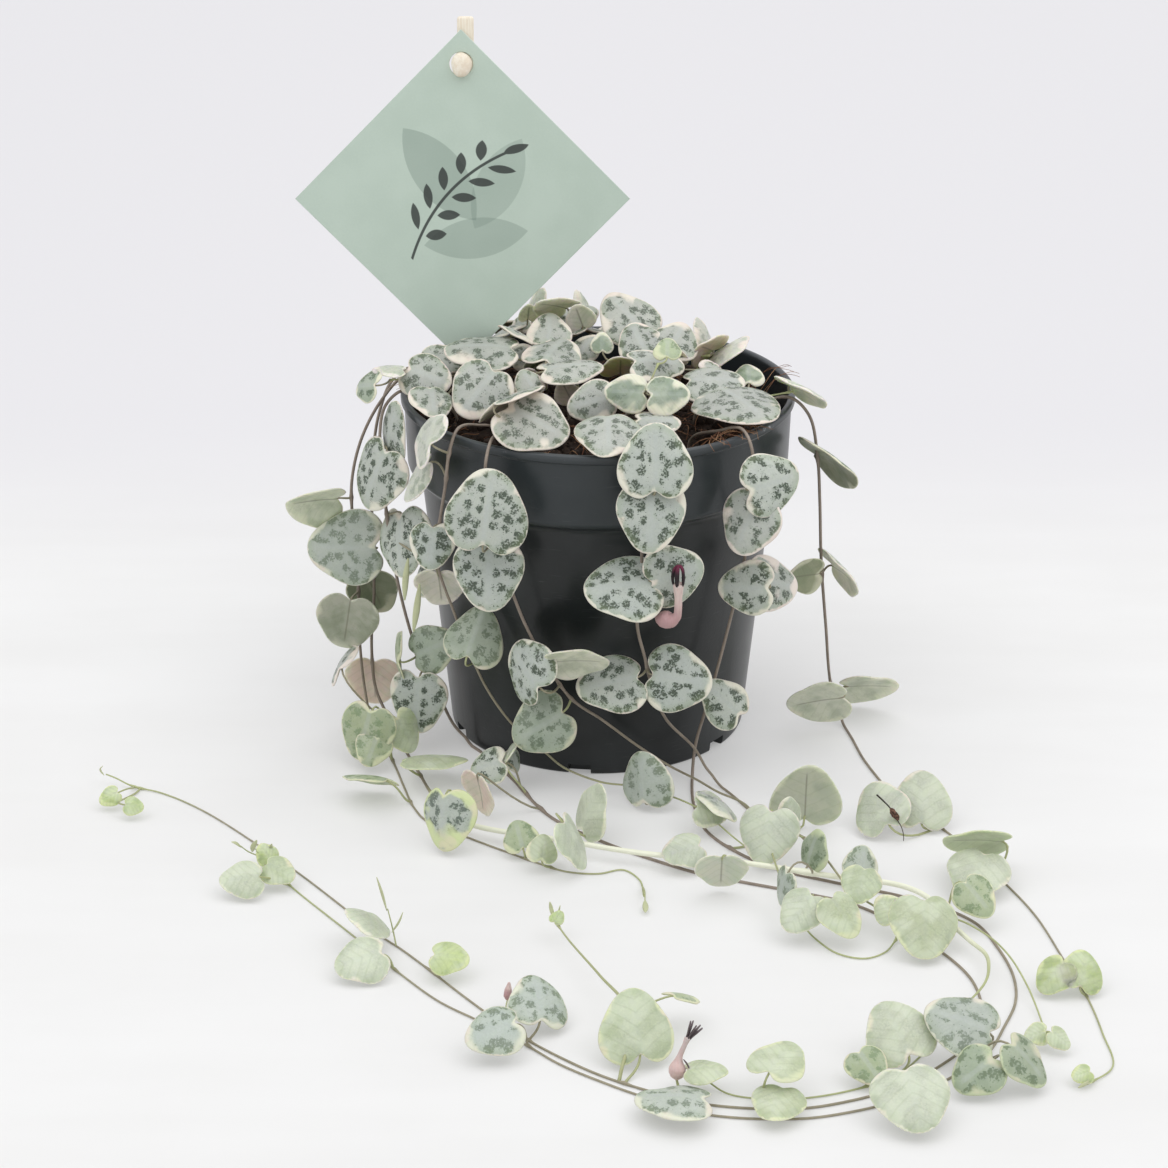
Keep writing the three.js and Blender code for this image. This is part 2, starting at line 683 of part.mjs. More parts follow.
function potSolid() {
  let pot = toSolid(turned(potOutline(), potSides));
  for (let i = 0; i < slotCount; i += 1) {
    const angle = THREE.MathUtils.degToRad(slotStart + (360 / slotCount) * i);
    const slot = new THREE.BoxGeometry(...slotSize);
    slot.translate(baseRadius, 0, slotSize[2] / 2 - clearance);
    slot.rotateZ(angle);
    pot = pot.subtract(toSolid(slot));
  }
  for (let i = 0; i < drainCount; i += 1) {
    const angle = (2 * Math.PI * (i + 0.5)) / drainCount;
    const drain = new THREE.CylinderGeometry(drainRadius, drainRadius, 3 * potFloor, drainSides);
    drain.rotateX(Math.PI / 2);
    drain.translate(drainRing * Math.cos(angle), drainRing * Math.sin(angle), potFloor / 2);
    pot = pot.subtract(toSolid(drain));
  }
  return pot;
}

// Height of the soil: low mounds with a shallow dip along the pot's wall.
function soilHeight(x, y) {
  const mounds = Math.sin(0.21 * x + 0.6) * Math.cos(0.17 * y - 0.4) + 0.6 * Math.sin(0.11 * (x - y));
  return soilTop + moundHeight * mounds * (1 - Math.hypot(x, y) / (1.15 * rimRadius));
}

function soilSolid() {
  const gap = potWall + clearance;
  const outline = [
    [0, potFloor + clearance],
    [baseRadius - gap, potFloor + clearance],
    [shoulderRadius - gap, stepFoot],
    [bandRadius - gap, stepTop + clearance],
    [bandRadius - gap + clearance, soilTop],
    ...soilRings.map((share) => [share * rimRadius, soilTop]),
    [0, soilTop],
  ];
  const geometry = turned(outline, soilSides);
  const place = geometry.attributes.position;
  for (let i = 0; i < place.count; i += 1) {
    if (place.getZ(i) > stepTop + potWall) place.setZ(i, soilHeight(place.getX(i), place.getY(i)));
  }
  let soil = toSolid(geometry);
  for (const { stems } of growths) {
    const [x, y, z] = stems[0][0];
    const bottom = z - clearance;
    const radius = stemRadius + 2 * clearance;
    const hole = new THREE.CylinderGeometry(radius, radius, rootHoleTop - bottom, rootHoleSides);
    hole.rotateX(Math.PI / 2);
    hole.translate(x, y, (rootHoleTop + bottom) / 2);
    soil = soil.subtract(toSolid(hole));
  }
  return soil.subtract(toSolid(stakeShape(clearance)));
}

// ---------------------------------------------------------------- the label and its stake

// Puts a shape made in the card's own plane (X across, Y up, Z forward) in its place.
function onCard(geometry) {
  geometry.rotateX(Math.PI / 2 - THREE.MathUtils.degToRad(cardLean));
  geometry.translate(...cardMiddle);
  return geometry;
}

function cardSolid() {
  const half = cardSide / Math.SQRT2;
  const diamond = new THREE.Shape([
    new THREE.Vector2(half, 0),
    new THREE.Vector2(0, half),
    new THREE.Vector2(-half, 0),
    new THREE.Vector2(0, -half),
  ]);
  const hole = new THREE.Path();
  hole.absarc(0, half - cardHoleInset, cardHoleRadius, 0, 2 * Math.PI, true);
  diamond.holes.push(hole);
  const sheet = new THREE.ExtrudeGeometry(diamond, {
    depth: cardThickness, bevelEnabled: false, curveSegments: 8,
  });
  return toSolid(onCard(sheet));
}

// The stake stands behind the card, in line with its lean. A margin makes it larger all round.
function stakeShape(margin = 0) {
  const length = stakeTop - stakeBottom;
  const stake = new THREE.BoxGeometry(
    stakeWidth + 2 * margin, length + 2 * margin, stakeThickness + 2 * margin,
  );
  stake.translate(0, (stakeTop + stakeBottom) / 2 - cardMiddle[2], -stakeThickness / 2 - clearance);
  return onCard(stake);
}

function stakeSolid() {
  const peg = new THREE.CylinderGeometry(pegRadius, pegRadius, pegLength, pegSides);
  peg.rotateX(Math.PI / 2);
  peg.translate(0, cardSide / Math.SQRT2 - cardHoleInset, pegLength / 2 - stakeThickness);
  return toSolid(stakeShape()).add(toSolid(onCard(peg)));
}

// ---------------------------------------------------------------- the flowers

// Turns a shape that stands on +Z to a direction and sets its foot at a place.
function aimed(geometry, place, direction) {
  const turn = new THREE.Quaternion().setFromUnitVectors(new THREE.Vector3(0, 0, 1), direction);
  geometry.applyQuaternion(turn);
  geometry.translate(...place);
  return geometry;
}

// Each flower has a stalk, a round bulb and a tube that ends in a wider throat. The cage of
// dark petals stands on the throat.
const flowers = [
  {
    name: 'flower_front',
    stalk: [[10.6, -52.7, 54.4], [12.5, -56.5, 53.6], [16.6, -60, 54.4]],
    bulb: { place: [16.8, -60, 54.4], direction: [0.4, 0, 1], radius: 2.3, length: 5.4 },
    tube: [[17.4, -60.4, 53], [19.6, -61.2, 54.6], [20.1, -61.5, 57.6], [20.1, -61.5, 61]],
  },
  {
    name: 'flower_ground',
    stalk: [[17.3, -197.4, 1.4], [17.1, -196, 2.4], [16.8, -194.6, 4.4]],
    bulb: { place: [16.8, -195, 5.2], direction: [0, 0.2, 1], radius: 1.8, length: 4.6 },
    tube: [[16.8, -195, 5.6], [17.2, -193.8, 7.4], [18.4, -192, 8.9], [19.6, -190.2, 10.4]],
  },
];

function throatFrame({ tube }) {
  const [before, foot] = tube.slice(-2).map(point);
  return { foot, direction: foot.clone().sub(before).normalize() };
}

function bloomSolid(flower) {
  const { foot, direction } = throatFrame(flower);
  const { bulb } = flower;
  const ball = new THREE.SphereGeometry(1, bulbSides, 4);
  ball.rotateX(Math.PI / 2);
  ball.scale(bulb.radius, bulb.radius, bulb.length / 2);
  const throat = turned([
    [0, -1], [tubeRadius, -1], [throatRadius, throatLength], [0, throatLength],
  ], bulbSides);
  return join([
    toSolid(aimed(ball, bulb.place, point(bulb.direction).normalize())),
    toSolid(aimed(throat, foot, direction)),
    bar(new Route(flower.tube), tubeRadius, bulbSides, flower.tube.length - 1),
    bar(new Route(flower.stalk), stalkRadius, stemSides, flower.stalk.length - 1),
  ]);
}

// Ribs that bow outwards from a low ring and meet in a small knob.
function cageSolid(flower) {
  const { foot, direction } = throatFrame(flower);
  const pieces = [
    toSolid(turned([
      [0, 0], [throatRadius, 0], [throatRadius, 2 * ribRadius], [0, 2 * ribRadius],
    ], bulbSides)),
    toSolid(turned([
      [0, cageHeight - cageKnob], [cageKnob, cageHeight - cageKnob / 2], [0, cageHeight],
    ], cageRibs)),
  ];
  for (let i = 0; i < cageRibs; i += 1) {
    const angle = (2 * Math.PI * i) / cageRibs;
    const spot = (radius, height) => [radius * Math.cos(angle), radius * Math.sin(angle), height];
    const rib = new Route([
      spot(throatRadius - ribRadius, ribRadius),
      spot(cageGirth - ribRadius, cageHeight / 2),
      spot(cageKnob / 2, cageHeight - cageKnob / 2),
    ]);
    pieces.push(bar(rib, ribRadius, stemSides, rib.points.length - 1));
  }
  const place = foot.clone().addScaledVector(direction, throatLength + clearance);
  return toSolid(aimed(toGeometry(join(pieces)), place, direction));
}

// A shrivelled flower on the right-hand stem.
const driedBody = { place: [75.2, -78, 7.6], direction: [-0.5, 0.1, 0.75], radius: 1.1, length: 4.4 };
const driedStalk = [[76.6, -78.4, 6], [75.4, -78, 7.6], [73.4, -77.6, 10], [71.2, -77.2, 12.2]];

function driedSolid() {
  const body = new THREE.SphereGeometry(1, 6, 4);
  body.rotateX(Math.PI / 2);
  body.scale(driedBody.radius, driedBody.radius, driedBody.length / 2);
  return join([
    toSolid(aimed(body, driedBody.place, point(driedBody.direction).normalize())),
    bar(new Route(driedStalk), stalkRadius, stemSides, driedStalk.length - 1),
  ]);
}

// ---------------------------------------------------------------- the object

const plant = new THREE.Group();

function addPart(name, solid, material) {
  const mesh = new THREE.Mesh(toGeometry(solid), material);
  mesh.name = name;
  plant.add(mesh);
}

addPart('pot', potSolid(), finishes.pot);
addPart('soil', soilSolid(), finishes.soil);
addPart('card', cardSolid(), finishes.card);
addPart('card_stake', stakeSolid(), finishes.stake);
for (const growth of growths) addPart(growth.name, leafySolid(growth), growth.finish);
for (const flower of flowers) {
  addPart(`${flower.name}_tube`, bloomSolid(flower), finishes.bloom);
  addPart(`${flower.name}_cage`, cageSolid(flower), finishes.cage);
}
addPart('flower_dried', driedSolid(), finishes.dry);

export default plant;
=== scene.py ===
# %% [markdown]
# # A string of hearts in its nursery pot
# The plant is a trailing succulent: thin stems start in the soil of a small dark pot, pass
# over its rim, hang down and lie on the table. Along them sit pairs of thick heart-shaped
# leaves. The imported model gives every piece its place. This script dresses it: each surface
# is worked out with numpy on a grid, put into a mesh, and given a finish made of nodes.

# %% Load the frame
import math

import bpy
import numpy as np
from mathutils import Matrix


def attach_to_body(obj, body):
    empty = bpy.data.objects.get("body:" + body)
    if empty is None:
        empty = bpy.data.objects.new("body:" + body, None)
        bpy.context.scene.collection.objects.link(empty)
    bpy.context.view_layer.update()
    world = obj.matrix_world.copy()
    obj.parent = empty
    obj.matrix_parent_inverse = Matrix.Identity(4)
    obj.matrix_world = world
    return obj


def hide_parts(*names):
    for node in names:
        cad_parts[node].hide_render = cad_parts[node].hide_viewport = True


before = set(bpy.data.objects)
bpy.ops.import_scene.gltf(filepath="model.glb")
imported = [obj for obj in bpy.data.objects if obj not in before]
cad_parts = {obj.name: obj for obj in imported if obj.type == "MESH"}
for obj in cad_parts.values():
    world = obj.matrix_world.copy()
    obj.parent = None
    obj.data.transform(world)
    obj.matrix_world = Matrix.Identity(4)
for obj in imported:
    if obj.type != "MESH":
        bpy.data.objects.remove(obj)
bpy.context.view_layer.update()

MM = 0.001
print("solids in the frame:", len(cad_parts))

# %% [markdown]
# ## Camera
# A long lens looks down on the plant at 23 degrees, from 84 centimetres away. A camera looks
# along its own -Z axis, so its matrix is built from the direction to the target.

# %% Camera
CAMERA_PLACE = np.array([-3.7, -773.0, 366.9]) * MM
CAMERA_TARGET = np.array([-3.7, 0.0, 38.1]) * MM
VIEW_ANGLE = 21.54


def unit(way):
    """The direction of one vector: the vector divided by its length."""
    return way / np.linalg.norm(way)


def look_at(thing, place, target):
    """Stand a camera or lamp at a place, its -Z axis pointing at the target and +Y up."""
    back = unit(np.asarray(place, float) - np.asarray(target, float))
    right = unit(np.cross([0.0, 0.0, 1.0], back))
    up = np.cross(back, right)
    matrix = np.eye(4)
    matrix[:3, 0], matrix[:3, 1], matrix[:3, 2], matrix[:3, 3] = right, up, back, place
    thing.matrix_world = matrix.T.tolist()


def put_in_scene(name, data):
    """A new object with this data, linked to the scene."""
    thing = bpy.data.objects.new(name, data)
    bpy.context.scene.collection.objects.link(thing)
    return thing


camera = put_in_scene("camera", bpy.data.cameras.new("camera"))
camera.data.angle = math.radians(VIEW_ANGLE)
camera.data.clip_start = 0.01
look_at(camera, CAMERA_PLACE, CAMERA_TARGET)
bpy.context.scene.camera = camera
bpy.context.scene.view_settings.view_transform = "Standard"
print("camera at", np.round(CAMERA_PLACE, 3))

# %% [markdown]
# ## Meshes from arrays
# A mesh here is always the same three things: an array of points, arrays of faces with three
# or four corners each, and one value a point for whatever the finish needs to know. One
# helper puts any number of such surfaces into one object. Most surfaces are rings of points
# with a single point, a pole, at each end, so that they are closed.


# %% Faces of grids and rings
def grid_faces(rows, columns, closed=False, looped=False):
    """Faces of a grid of points stored row by row. Closed joins the last column to the first,
    and looped the last row to the first."""
    row = np.arange(rows if looped else rows - 1)[:, None]
    column = np.arange(columns if closed else columns - 1)[None, :]
    after, below = (column + 1) % columns, (row + 1) % rows
    corners = [row * columns + column, row * columns + after,
               below * columns + after, below * columns + column]
    shape = (row.size, column.size)
    return np.stack([np.broadcast_to(c, shape) for c in corners], -1).reshape(-1, 4)


def capped_faces(rings, columns):
    """Faces of rings between two poles. The first point is one pole, then come the rings, and
    the last point is the other pole. Returns the four-cornered and the three-cornered faces."""
    column = np.arange(columns)
    after = (column + 1) % columns
    first, last = 1, 1 + (rings - 1) * columns
    start = np.stack([np.zeros_like(column), first + after, first + column], -1)
    end = np.stack([np.full_like(column, last + columns), last + column, last + after], -1)
    return [grid_faces(rings, columns, closed=True) + 1, np.concatenate([start, end])]


def with_poles(start, rings, end):
    """The points of rings with one point before and one after them."""
    return np.concatenate([[start], rings.reshape(-1, 3), [end]])


def round_angles(count):
    """Evenly spaced angles of a full turn, as one row."""
    return np.linspace(0, 2 * math.pi, count, endpoint=False)[None, :]


def rings_about_z(radius, height, sides):
    """Level rings: the cosine and the sine of each angle times the radius, at the height."""
    angle = round_angles(sides)
    x, y = radius * np.cos(angle), radius * np.sin(angle)
    return np.stack([x, y, np.broadcast_to(height, x.shape)], -1)


print("faces of a grid of 3 by 4 points:", len(grid_faces(3, 4)))


# %% Mesh helper
def make_mesh(name, surfaces, finish):
    """One object from surfaces, each (points in metres, face arrays, {attribute: value a point}).

    An attribute with one number a point becomes a number, and with three a vector.
    """
    rows = [np.asarray(p, float).reshape(-1, 3) for p, _, _ in surfaces]
    points = np.concatenate(rows)
    starts = np.cumsum([0] + [len(row) for row in rows])
    faces = [array + start for (_, arrays, _), start in zip(surfaces, starts) for array in arrays]
    sizes = np.concatenate([np.full(len(f), f.shape[1]) for f in faces])
    corners = np.concatenate([f.ravel() for f in faces])
    mesh = bpy.data.meshes.new(name)
    mesh.vertices.add(len(points))
    mesh.vertices.foreach_set("co", points.astype(np.float32).ravel())
    mesh.loops.add(len(corners))
    mesh.loops.foreach_set("vertex_index", corners.astype(np.int32))
    mesh.polygons.add(len(sizes))
    first = np.concatenate([[0], np.cumsum(sizes)[:-1]])
    mesh.polygons.foreach_set("loop_start", first.astype(np.int32))
    for key in surfaces[0][2]:
        values = np.concatenate([np.asarray(known[key], float).reshape(len(row), -1)
                                 for row, (_, _, known) in zip(rows, surfaces)])
        kind, field = ("FLOAT", "value") if values.shape[1] == 1 else ("FLOAT_VECTOR", "vector")
        attribute = mesh.attributes.new(key, kind, "POINT")
        attribute.data.foreach_set(field, values.astype(np.float32).ravel())
    mesh.update(calc_edges=True)
    mesh.validate()
    mesh.polygons.foreach_set("use_smooth", np.full(len(mesh.polygons), True))
    mesh.materials.append(finish)
    return put_in_scene(name, mesh)


def attach(piece, slot, *nodes):
    """Let a finished piece ride on the plant and stand for its solids."""
    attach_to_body(piece, "root")
    if nodes:
        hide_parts(*nodes)


# %% [markdown]
# ## Finishes from nodes
# A finish is a tree of nodes that ends in one shader. The helper below adds a node a call and
# gives back its output, so a finish reads like a formula.


# %% Node helpers
class Finish:
    """A material whose nodes are added one call at a time. An input given as another node's
    output is linked, and any other value is set on the socket."""

    def __init__(self, name):
        self.material = bpy.data.materials.new(name)
        self.material.use_nodes = True
        self.tree = self.material.node_tree
        self.shader = self.tree.nodes["Principled BSDF"]

    def node(self, kind, output=0, inputs=None, **settings):
        """Add a node with its settings and inputs, and give back one of its outputs."""
        node = self.tree.nodes.new("ShaderNode" + kind)
        for key, value in settings.items():
            setattr(node, key, value)
        for key, value in (inputs or {}).items():
            self.give(node, key, value)
        return node.outputs[output]

    def give(self, node, key, value):
        """Link another node's output to an input, or set the input to a value."""
        if isinstance(value, bpy.types.NodeSocket):
            self.tree.links.new(value, node.inputs[key])
        else:
            node.inputs[key].default_value = value

    def set(self, **values):
        """Give the shader its inputs, named with underscores for spaces."""
        for key, value in values.items():
            self.give(self.shader, key.replace("_", " "), value)

    def math(self, operation, a, b=0.0):
        return self.node("Math", operation=operation, inputs={0: a, 1: b})

    def times(self, *values):
        """The product of several values."""
        product = values[0]
        for value in values[1:]:
            product = self.math("MULTIPLY", product, value)
        return product

    def plus(self, *values):
        """The sum of several values."""
        total = values[0]
        for value in values[1:]:
            total = self.math("ADD", total, value)
        return total

    def step(self, value, low, high, start=0.0, end=1.0):
        """A smooth step from start to end as the value goes from low to high."""
        return self.node("MapRange", interpolation_type="SMOOTHSTEP", inputs={
            "Value": value, "From Min": low, "From Max": high, "To Min": start, "To Max": end})

    def fall(self, value, low, high):
        """A smooth step from one down to zero as the value goes from low to high."""
        return self.step(value, low, high, 1.0, 0.0)

    def mix(self, share, a, b):
        """A colour between a and b."""
        def rgba(value):
            if isinstance(value, bpy.types.NodeSocket):
                return value
            return (*value, 1.0)
        return self.node("Mix", 2, data_type="RGBA", inputs={0: share, 6: rgba(a), 7: rgba(b)})

    def attribute(self, name, output="Fac"):
        return self.node("Attribute", output, attribute_name=name)

    def place(self):
        return self.node("TexCoord", "Object")

    def parts(self, vector):
        """The X, Y and Z numbers of a vector."""
        outputs = self.node("SeparateXYZ", inputs={"Vector": vector}).node.outputs
        return outputs[0], outputs[1], outputs[2]

    def noise(self, where, size, detail=2.0, roughness=0.5, output="Fac"):
        """Soft noise whose patches are about the given size, in the units of where."""
        return self.node("TexNoise", output, inputs={
            "Vector": where, "Scale": 1.0 / size, "Detail": detail, "Roughness": roughness})

    def stretched(self, where, sizes):
        """The place divided by a size for each axis, for patterns that run one way."""
        return self.node("VectorMath", operation="DIVIDE", inputs={0: where, 1: sizes})

    def bump(self, height, distance, strength=1.0):
        return self.node("Bump", inputs={
            "Height": height, "Distance": distance, "Strength": strength})


# %% [markdown]
# ## Table, wall and light
# The table and the wall behind it are one sheet of paper that curves upwards, so no edge shows
# behind the plant. Large soft lamps leave only faint shadows, which suits the waxy leaves and the
# satin pot. The paper also glows with painted light, which lifts the shadows on the table
# further.


# %% Table and wall
def studio_sheet():
    """A sheet carried along X whose profile in Y and Z is a flat table, a quarter circle
    and an upright wall."""
    front, back, height, bend, half_width = -2.2, 1.5, 2.6, 1.2, 2.6
    turn = np.linspace(-math.pi / 2, 0, 24)
    y = np.concatenate([[front, -0.6, 0.0], back - bend + bend * np.cos(turn), [back]])
    z = np.concatenate([[0.0, 0.0, 0.0], bend + bend * np.sin(turn), [height]])
    x = np.linspace(-half_width, half_width, 9)
    points = np.stack(np.broadcast_arrays(x[:, None], y, z), -1)
    return points, [grid_faces(x.size, y.size)[:, ::-1]], {}


def paper_finish():
    """White paper with wide faint clouds and long streaks. It glows with painted light that lifts
    the shadows on the table. The wall is darker and a little cooler, and glows more with painted
    light, so that it looks even."""
    f = Finish("studio_paper")
    spot = f.place()
    cloud = f.noise(spot, 0.12, 4.0, 0.55)
    streak = f.noise(f.stretched(spot, (0.16, 0.03, 0.16)), 1.0, 3.0, 0.55)
    tone = f.step(f.math("ADD", f.times(cloud, 0.6), f.times(streak, 0.4)), 0.3, 0.7)
    table = f.mix(tone, (0.52, 0.517, 0.51), (0.565, 0.565, 0.562))
    on_wall = f.step(f.parts(spot)[1], 0.07, 0.25)
    # Painted light: the paper glows to lift the shadows on the table, and the darker wall glows
    # more so that it looks even.
    painted_light_glow = f.mix(on_wall, (0.49, 0.49, 0.49), (0.96, 0.95, 0.97))
    f.set(Base_Color=f.mix(on_wall, table, (0.245, 0.244, 0.256)), Roughness=0.85,
          Emission_Color=painted_light_glow, Emission_Strength=0.55)
    return f.material


table = make_mesh("studio_sheet", [studio_sheet()], paper_finish())
print("sheet:", len(table.data.polygons), "faces")


# %% Lamps
def softbox(name, place, target, size, power):
    """A white rectangular lamp of a width and height in metres and a power in watts."""
    lamp = bpy.data.lights.new(name, "AREA")
    lamp.shape = "RECTANGLE"
    lamp.size, lamp.size_y = size
    lamp.energy = power
    look_at(put_in_scene(name, lamp), place, target)


softbox("lamp_above", (0.05, -0.15, 1.5), (0.0, -0.06, 0.0), (2.6, 2.2), 17.0)
softbox("lamp_left", (-1.2, -0.8, 1.3), (0.0, -0.05, 0.05), (1.5, 1.5), 4.0)
softbox("lamp_right", (1.2, -0.7, 1.3), (0.0, -0.05, 0.05), (1.5, 1.5), 4.8)
world = bpy.data.worlds.new("room")
world.use_nodes = True
world.node_tree.nodes["Background"].inputs["Color"].default_value = (0.98, 0.985, 1.0, 1.0)
world.node_tree.nodes["Background"].inputs["Strength"].default_value = 0.62
bpy.context.scene.world = world
print("lamps:", len(bpy.data.lights))

# %% [markdown]
# ## The nursery pot
# The pot is injection moulded: one thin wall that steps out to a band under the rim, rounds
# over a narrow lip and comes down again inside. Turned about its axis, that wall is a profile
# of radius and height pairs that starts and ends on the axis. The drainage slots are notches
# cut from the bottom edge with Booleans, because a grid can't follow their steep sides.

# %% Pot profile
RIM_RADIUS, BAND_RADIUS, SHOULDER_RADIUS, BASE_RADIUS = 52.5, 51.0, 47.5, 40.2
POT_HEIGHT, STEP_TOP, STEP_FOOT = 95.0, 75.0, 73.0
WALL, LIP, FLOOR = 1.3, 1.9, 2.0


def smooth_profile(corners, radii, count=7):
    """A profile whose corners are rounded: at each corner a quadratic curve of the given
    radius runs from one side to the next, and straight lines join the curves."""
    corners = np.asarray(corners, float)
    out = [corners[:1]]
    for before, corner, after, radius in zip(corners[:-2], corners[1:-1], corners[2:], radii):
        t = np.linspace(0, 1, count)[:, None]
        a, b = corner + radius * unit(before - corner), corner + radius * unit(after - corner)
        out.append((1 - t) ** 2 * a + 2 * t * (1 - t) * corner + t**2 * b)
    out.append(corners[-1:])
    return np.concatenate(out)


def turned(profile, sides):
    """A profile of radius and height pairs in millimetres, turned about the Z axis. Its first
    and last points lie on the axis and become poles."""
    rings = rings_about_z(profile[1:-1, :1], profile[1:-1, 1:], sides)
    points = with_poles([0, 0, profile[0, 1]], rings, [0, 0, profile[-1, 1]])
    return points * MM, capped_faces(len(rings), sides)


pot_corners = [
    (0.0, 0.0), (BASE_RADIUS, 0.0), (SHOULDER_RADIUS, STEP_FOOT), (BAND_RADIUS, STEP_TOP),
    (RIM_RADIUS - 0.9, POT_HEIGHT - 2.6), (RIM_RADIUS, POT_HEIGHT - 2.1),
    (RIM_RADIUS, POT_HEIGHT), (RIM_RADIUS - LIP, POT_HEIGHT), (BAND_RADIUS - WALL, STEP_TOP),
    (SHOULDER_RADIUS - WALL, STEP_FOOT), (BASE_RADIUS - WALL, FLOOR), (0.0, FLOOR),
]
pot_radii = [1.0, 1.6, 1.5, 0.4, 0.3, 0.8, 0.9, 1.5, 1.5, 1.0]
pot_profile = smooth_profile(pot_corners, pot_radii)
print("points in the pot's profile:", len(pot_profile))

# %% Notches
NOTCHES, NOTCH_START = 6, -97.0
NOTCH_WIDTH, NOTCH_HEIGHT, NOTCH_REACH = 6.0, 2.9, 3
POT_SIDES = 192
POT_SHARP = math.radians(40)


def box_points(low, high):
    """The corners and outward faces of a box."""
    x, y, z = [np.array([a, b]) for a, b in zip(low, high)]
    corners = np.stack(np.meshgrid(x, y, z, indexing="ij"), -1).reshape(-1, 3)
    faces = np.array([[0, 1, 3, 2], [4, 6, 7, 5], [0, 4, 5, 1],
                      [2, 3, 7, 6], [0, 2, 6, 4], [1, 5, 7, 3]])
    return corners, [faces]


def turned_about_z(points, degrees):
    """Points turned counterclockwise, as seen from above."""
    c, s = math.cos(math.radians(degrees)), math.sin(math.radians(degrees))
    return points @ np.array([[c, s, 0], [-s, c, 0], [0, 0, 1]])


def cut(piece, cutters):
    """Cut one object with others, and keep the result as its mesh."""
    for cutter in cutters:
        modifier = piece.modifiers.new("cut", "BOOLEAN")
        modifier.operation = "DIFFERENCE"
        modifier.solver = "EXACT"
        modifier.object = cutter
    graph = bpy.context.evaluated_depsgraph_get()
    piece.data = bpy.data.meshes.new_from_object(piece.evaluated_get(graph))
    piece.modifiers.clear()
    for cutter in cutters:
        bpy.data.objects.remove(cutter)


print("notches:", NOTCHES, "each", NOTCH_WIDTH, "mm wide")


# %% Pot finish
def pot_finish():
    """Satin black-grey plastic with paler clouds of dust. The wall below the band is darker than
    the band as painted shade, and a painted highlight makes the lip paler. Fine scratches run
    round the wall, and the soil has left a whitish line along the lip."""
    f = Finish("pot_plastic")
    spot = f.place()
    height = f.parts(spot)[2]
    cloud = f.noise(spot, 0.022, 3.0, 0.5)
    scratch = f.noise(f.stretched(spot, (0.006, 0.006, 0.0004)), 1.0, 2.0, 0.5)
    grain = f.noise(spot, 0.0007, 2.0, 0.5)
    # Painted shade: the wall below the band gets a darker colour than the band.
    band = f.step(height, 0.0735, 0.0755)
    wall = f.mix(band, (0.0105, 0.0128, 0.0138), (0.0225, 0.0285, 0.0315))
    dusty = f.times(f.step(cloud, 0.45, 0.75), 0.25)
    color = f.mix(dusty, wall, (0.050, 0.058, 0.062))
    color = f.mix(f.times(f.step(scratch, 0.66, 0.74), 0.18), color, (0.10, 0.105, 0.11))
    # Painted highlight: the top of the lip is made paler.
    lip = f.times(f.step(height, 0.0932, 0.0946), 0.30)
    color = f.mix(lip, color, (0.11, 0.12, 0.13))
    crust = f.step(f.noise(spot, 0.0021, 4.0, 0.7), 0.56, 0.66)
    near_lip = f.step(height, 0.0928, 0.0944)
    crust = f.times(crust, near_lip, f.step(f.noise(spot, 0.02, 1.0), 0.52, 0.6))
    color = f.mix(f.times(crust, 0.75), color, (0.42, 0.44, 0.46))
    f.set(Base_Color=color, Roughness=f.step(cloud, 0.3, 0.8, 0.285, 0.38),
          Specular_IOR_Level=0.40, Normal=f.bump(grain, 0.00004, 0.5))
    return f.material


# %% Pot
POT_PLASTIC = pot_finish()
pot = make_mesh("pot_wall", [(*turned(pot_profile, POT_SIDES), {})], POT_PLASTIC)
cutters = []
for index in range(NOTCHES):
    corners, faces = box_points((BASE_RADIUS - NOTCH_REACH, -NOTCH_WIDTH / 2, -1.0),
                                (BASE_RADIUS + NOTCH_REACH, NOTCH_WIDTH / 2, NOTCH_HEIGHT))
    corners = turned_about_z(corners, NOTCH_START + 360 / NOTCHES * index) * MM
    cutters.append(make_mesh(f"notch_{index}", [(corners, faces, {})], POT_PLASTIC))
cut(pot, cutters)
pot.data.shade_smooth()
pot.data.set_sharp_from_angle(angle=POT_SHARP)
attach(pot, "pot", "pot")
print("pot faces:", len(pot.data.polygons))

# %% [markdown]
# ## Potting soil
# Potting mix is dark peat with lumps of every size and strands of coir. A disc gets low mounds
# and three sizes of noise for its surface. Loose crumbs are one ball repeated in other sizes
# and shapes, and the strands are thin tubes along bent lines, so both cast real shadows.

# %% Soil surface
SOIL_TOP, SOIL_FOOT, SOIL_RADIUS = 86.5, 78.0, 49.6
LUMPS = ((7.0, 2.2), (3.0, 1.5), (1.2, 0.8))
random = np.random.default_rng(7)


def lattice_noise(x, y, cell, table):
    """Random values at the corners of square cells, blended smoothly inside each cell."""
    u, v = x / cell, y / cell
    i, j = np.floor(u).astype(int), np.floor(v).astype(int)
    a, b = u - i, v - j
    a, b = a * a * (3 - 2 * a), b * b * (3 - 2 * b)
    i, j = i % len(table), j % len(table)
    i_next, j_next = (i + 1) % len(table), (j + 1) % len(table)
    low = table[i, j] * (1 - a) + table[i_next, j] * a
    high = table[i, j_next] * (1 - a) + table[i_next, j_next] * a
    return low * (1 - b) + high * b


noise_table = random.random((64, 64)) - 0.5


def soil_height(x, y):
    """The mounds of the solid soil, and on them lumps of three sizes."""
    mounds = np.sin(0.21 * x + 0.6) * np.cos(0.17 * y - 0.4) + 0.6 * np.sin(0.11 * (x - y))
    height = SOIL_TOP + mounds * (1 - np.hypot(x, y) / (1.15 * RIM_RADIUS))
    for cell, rise in LUMPS:
        height = height + rise * lattice_noise(x + 90, y + 90, cell, noise_table)
    return height


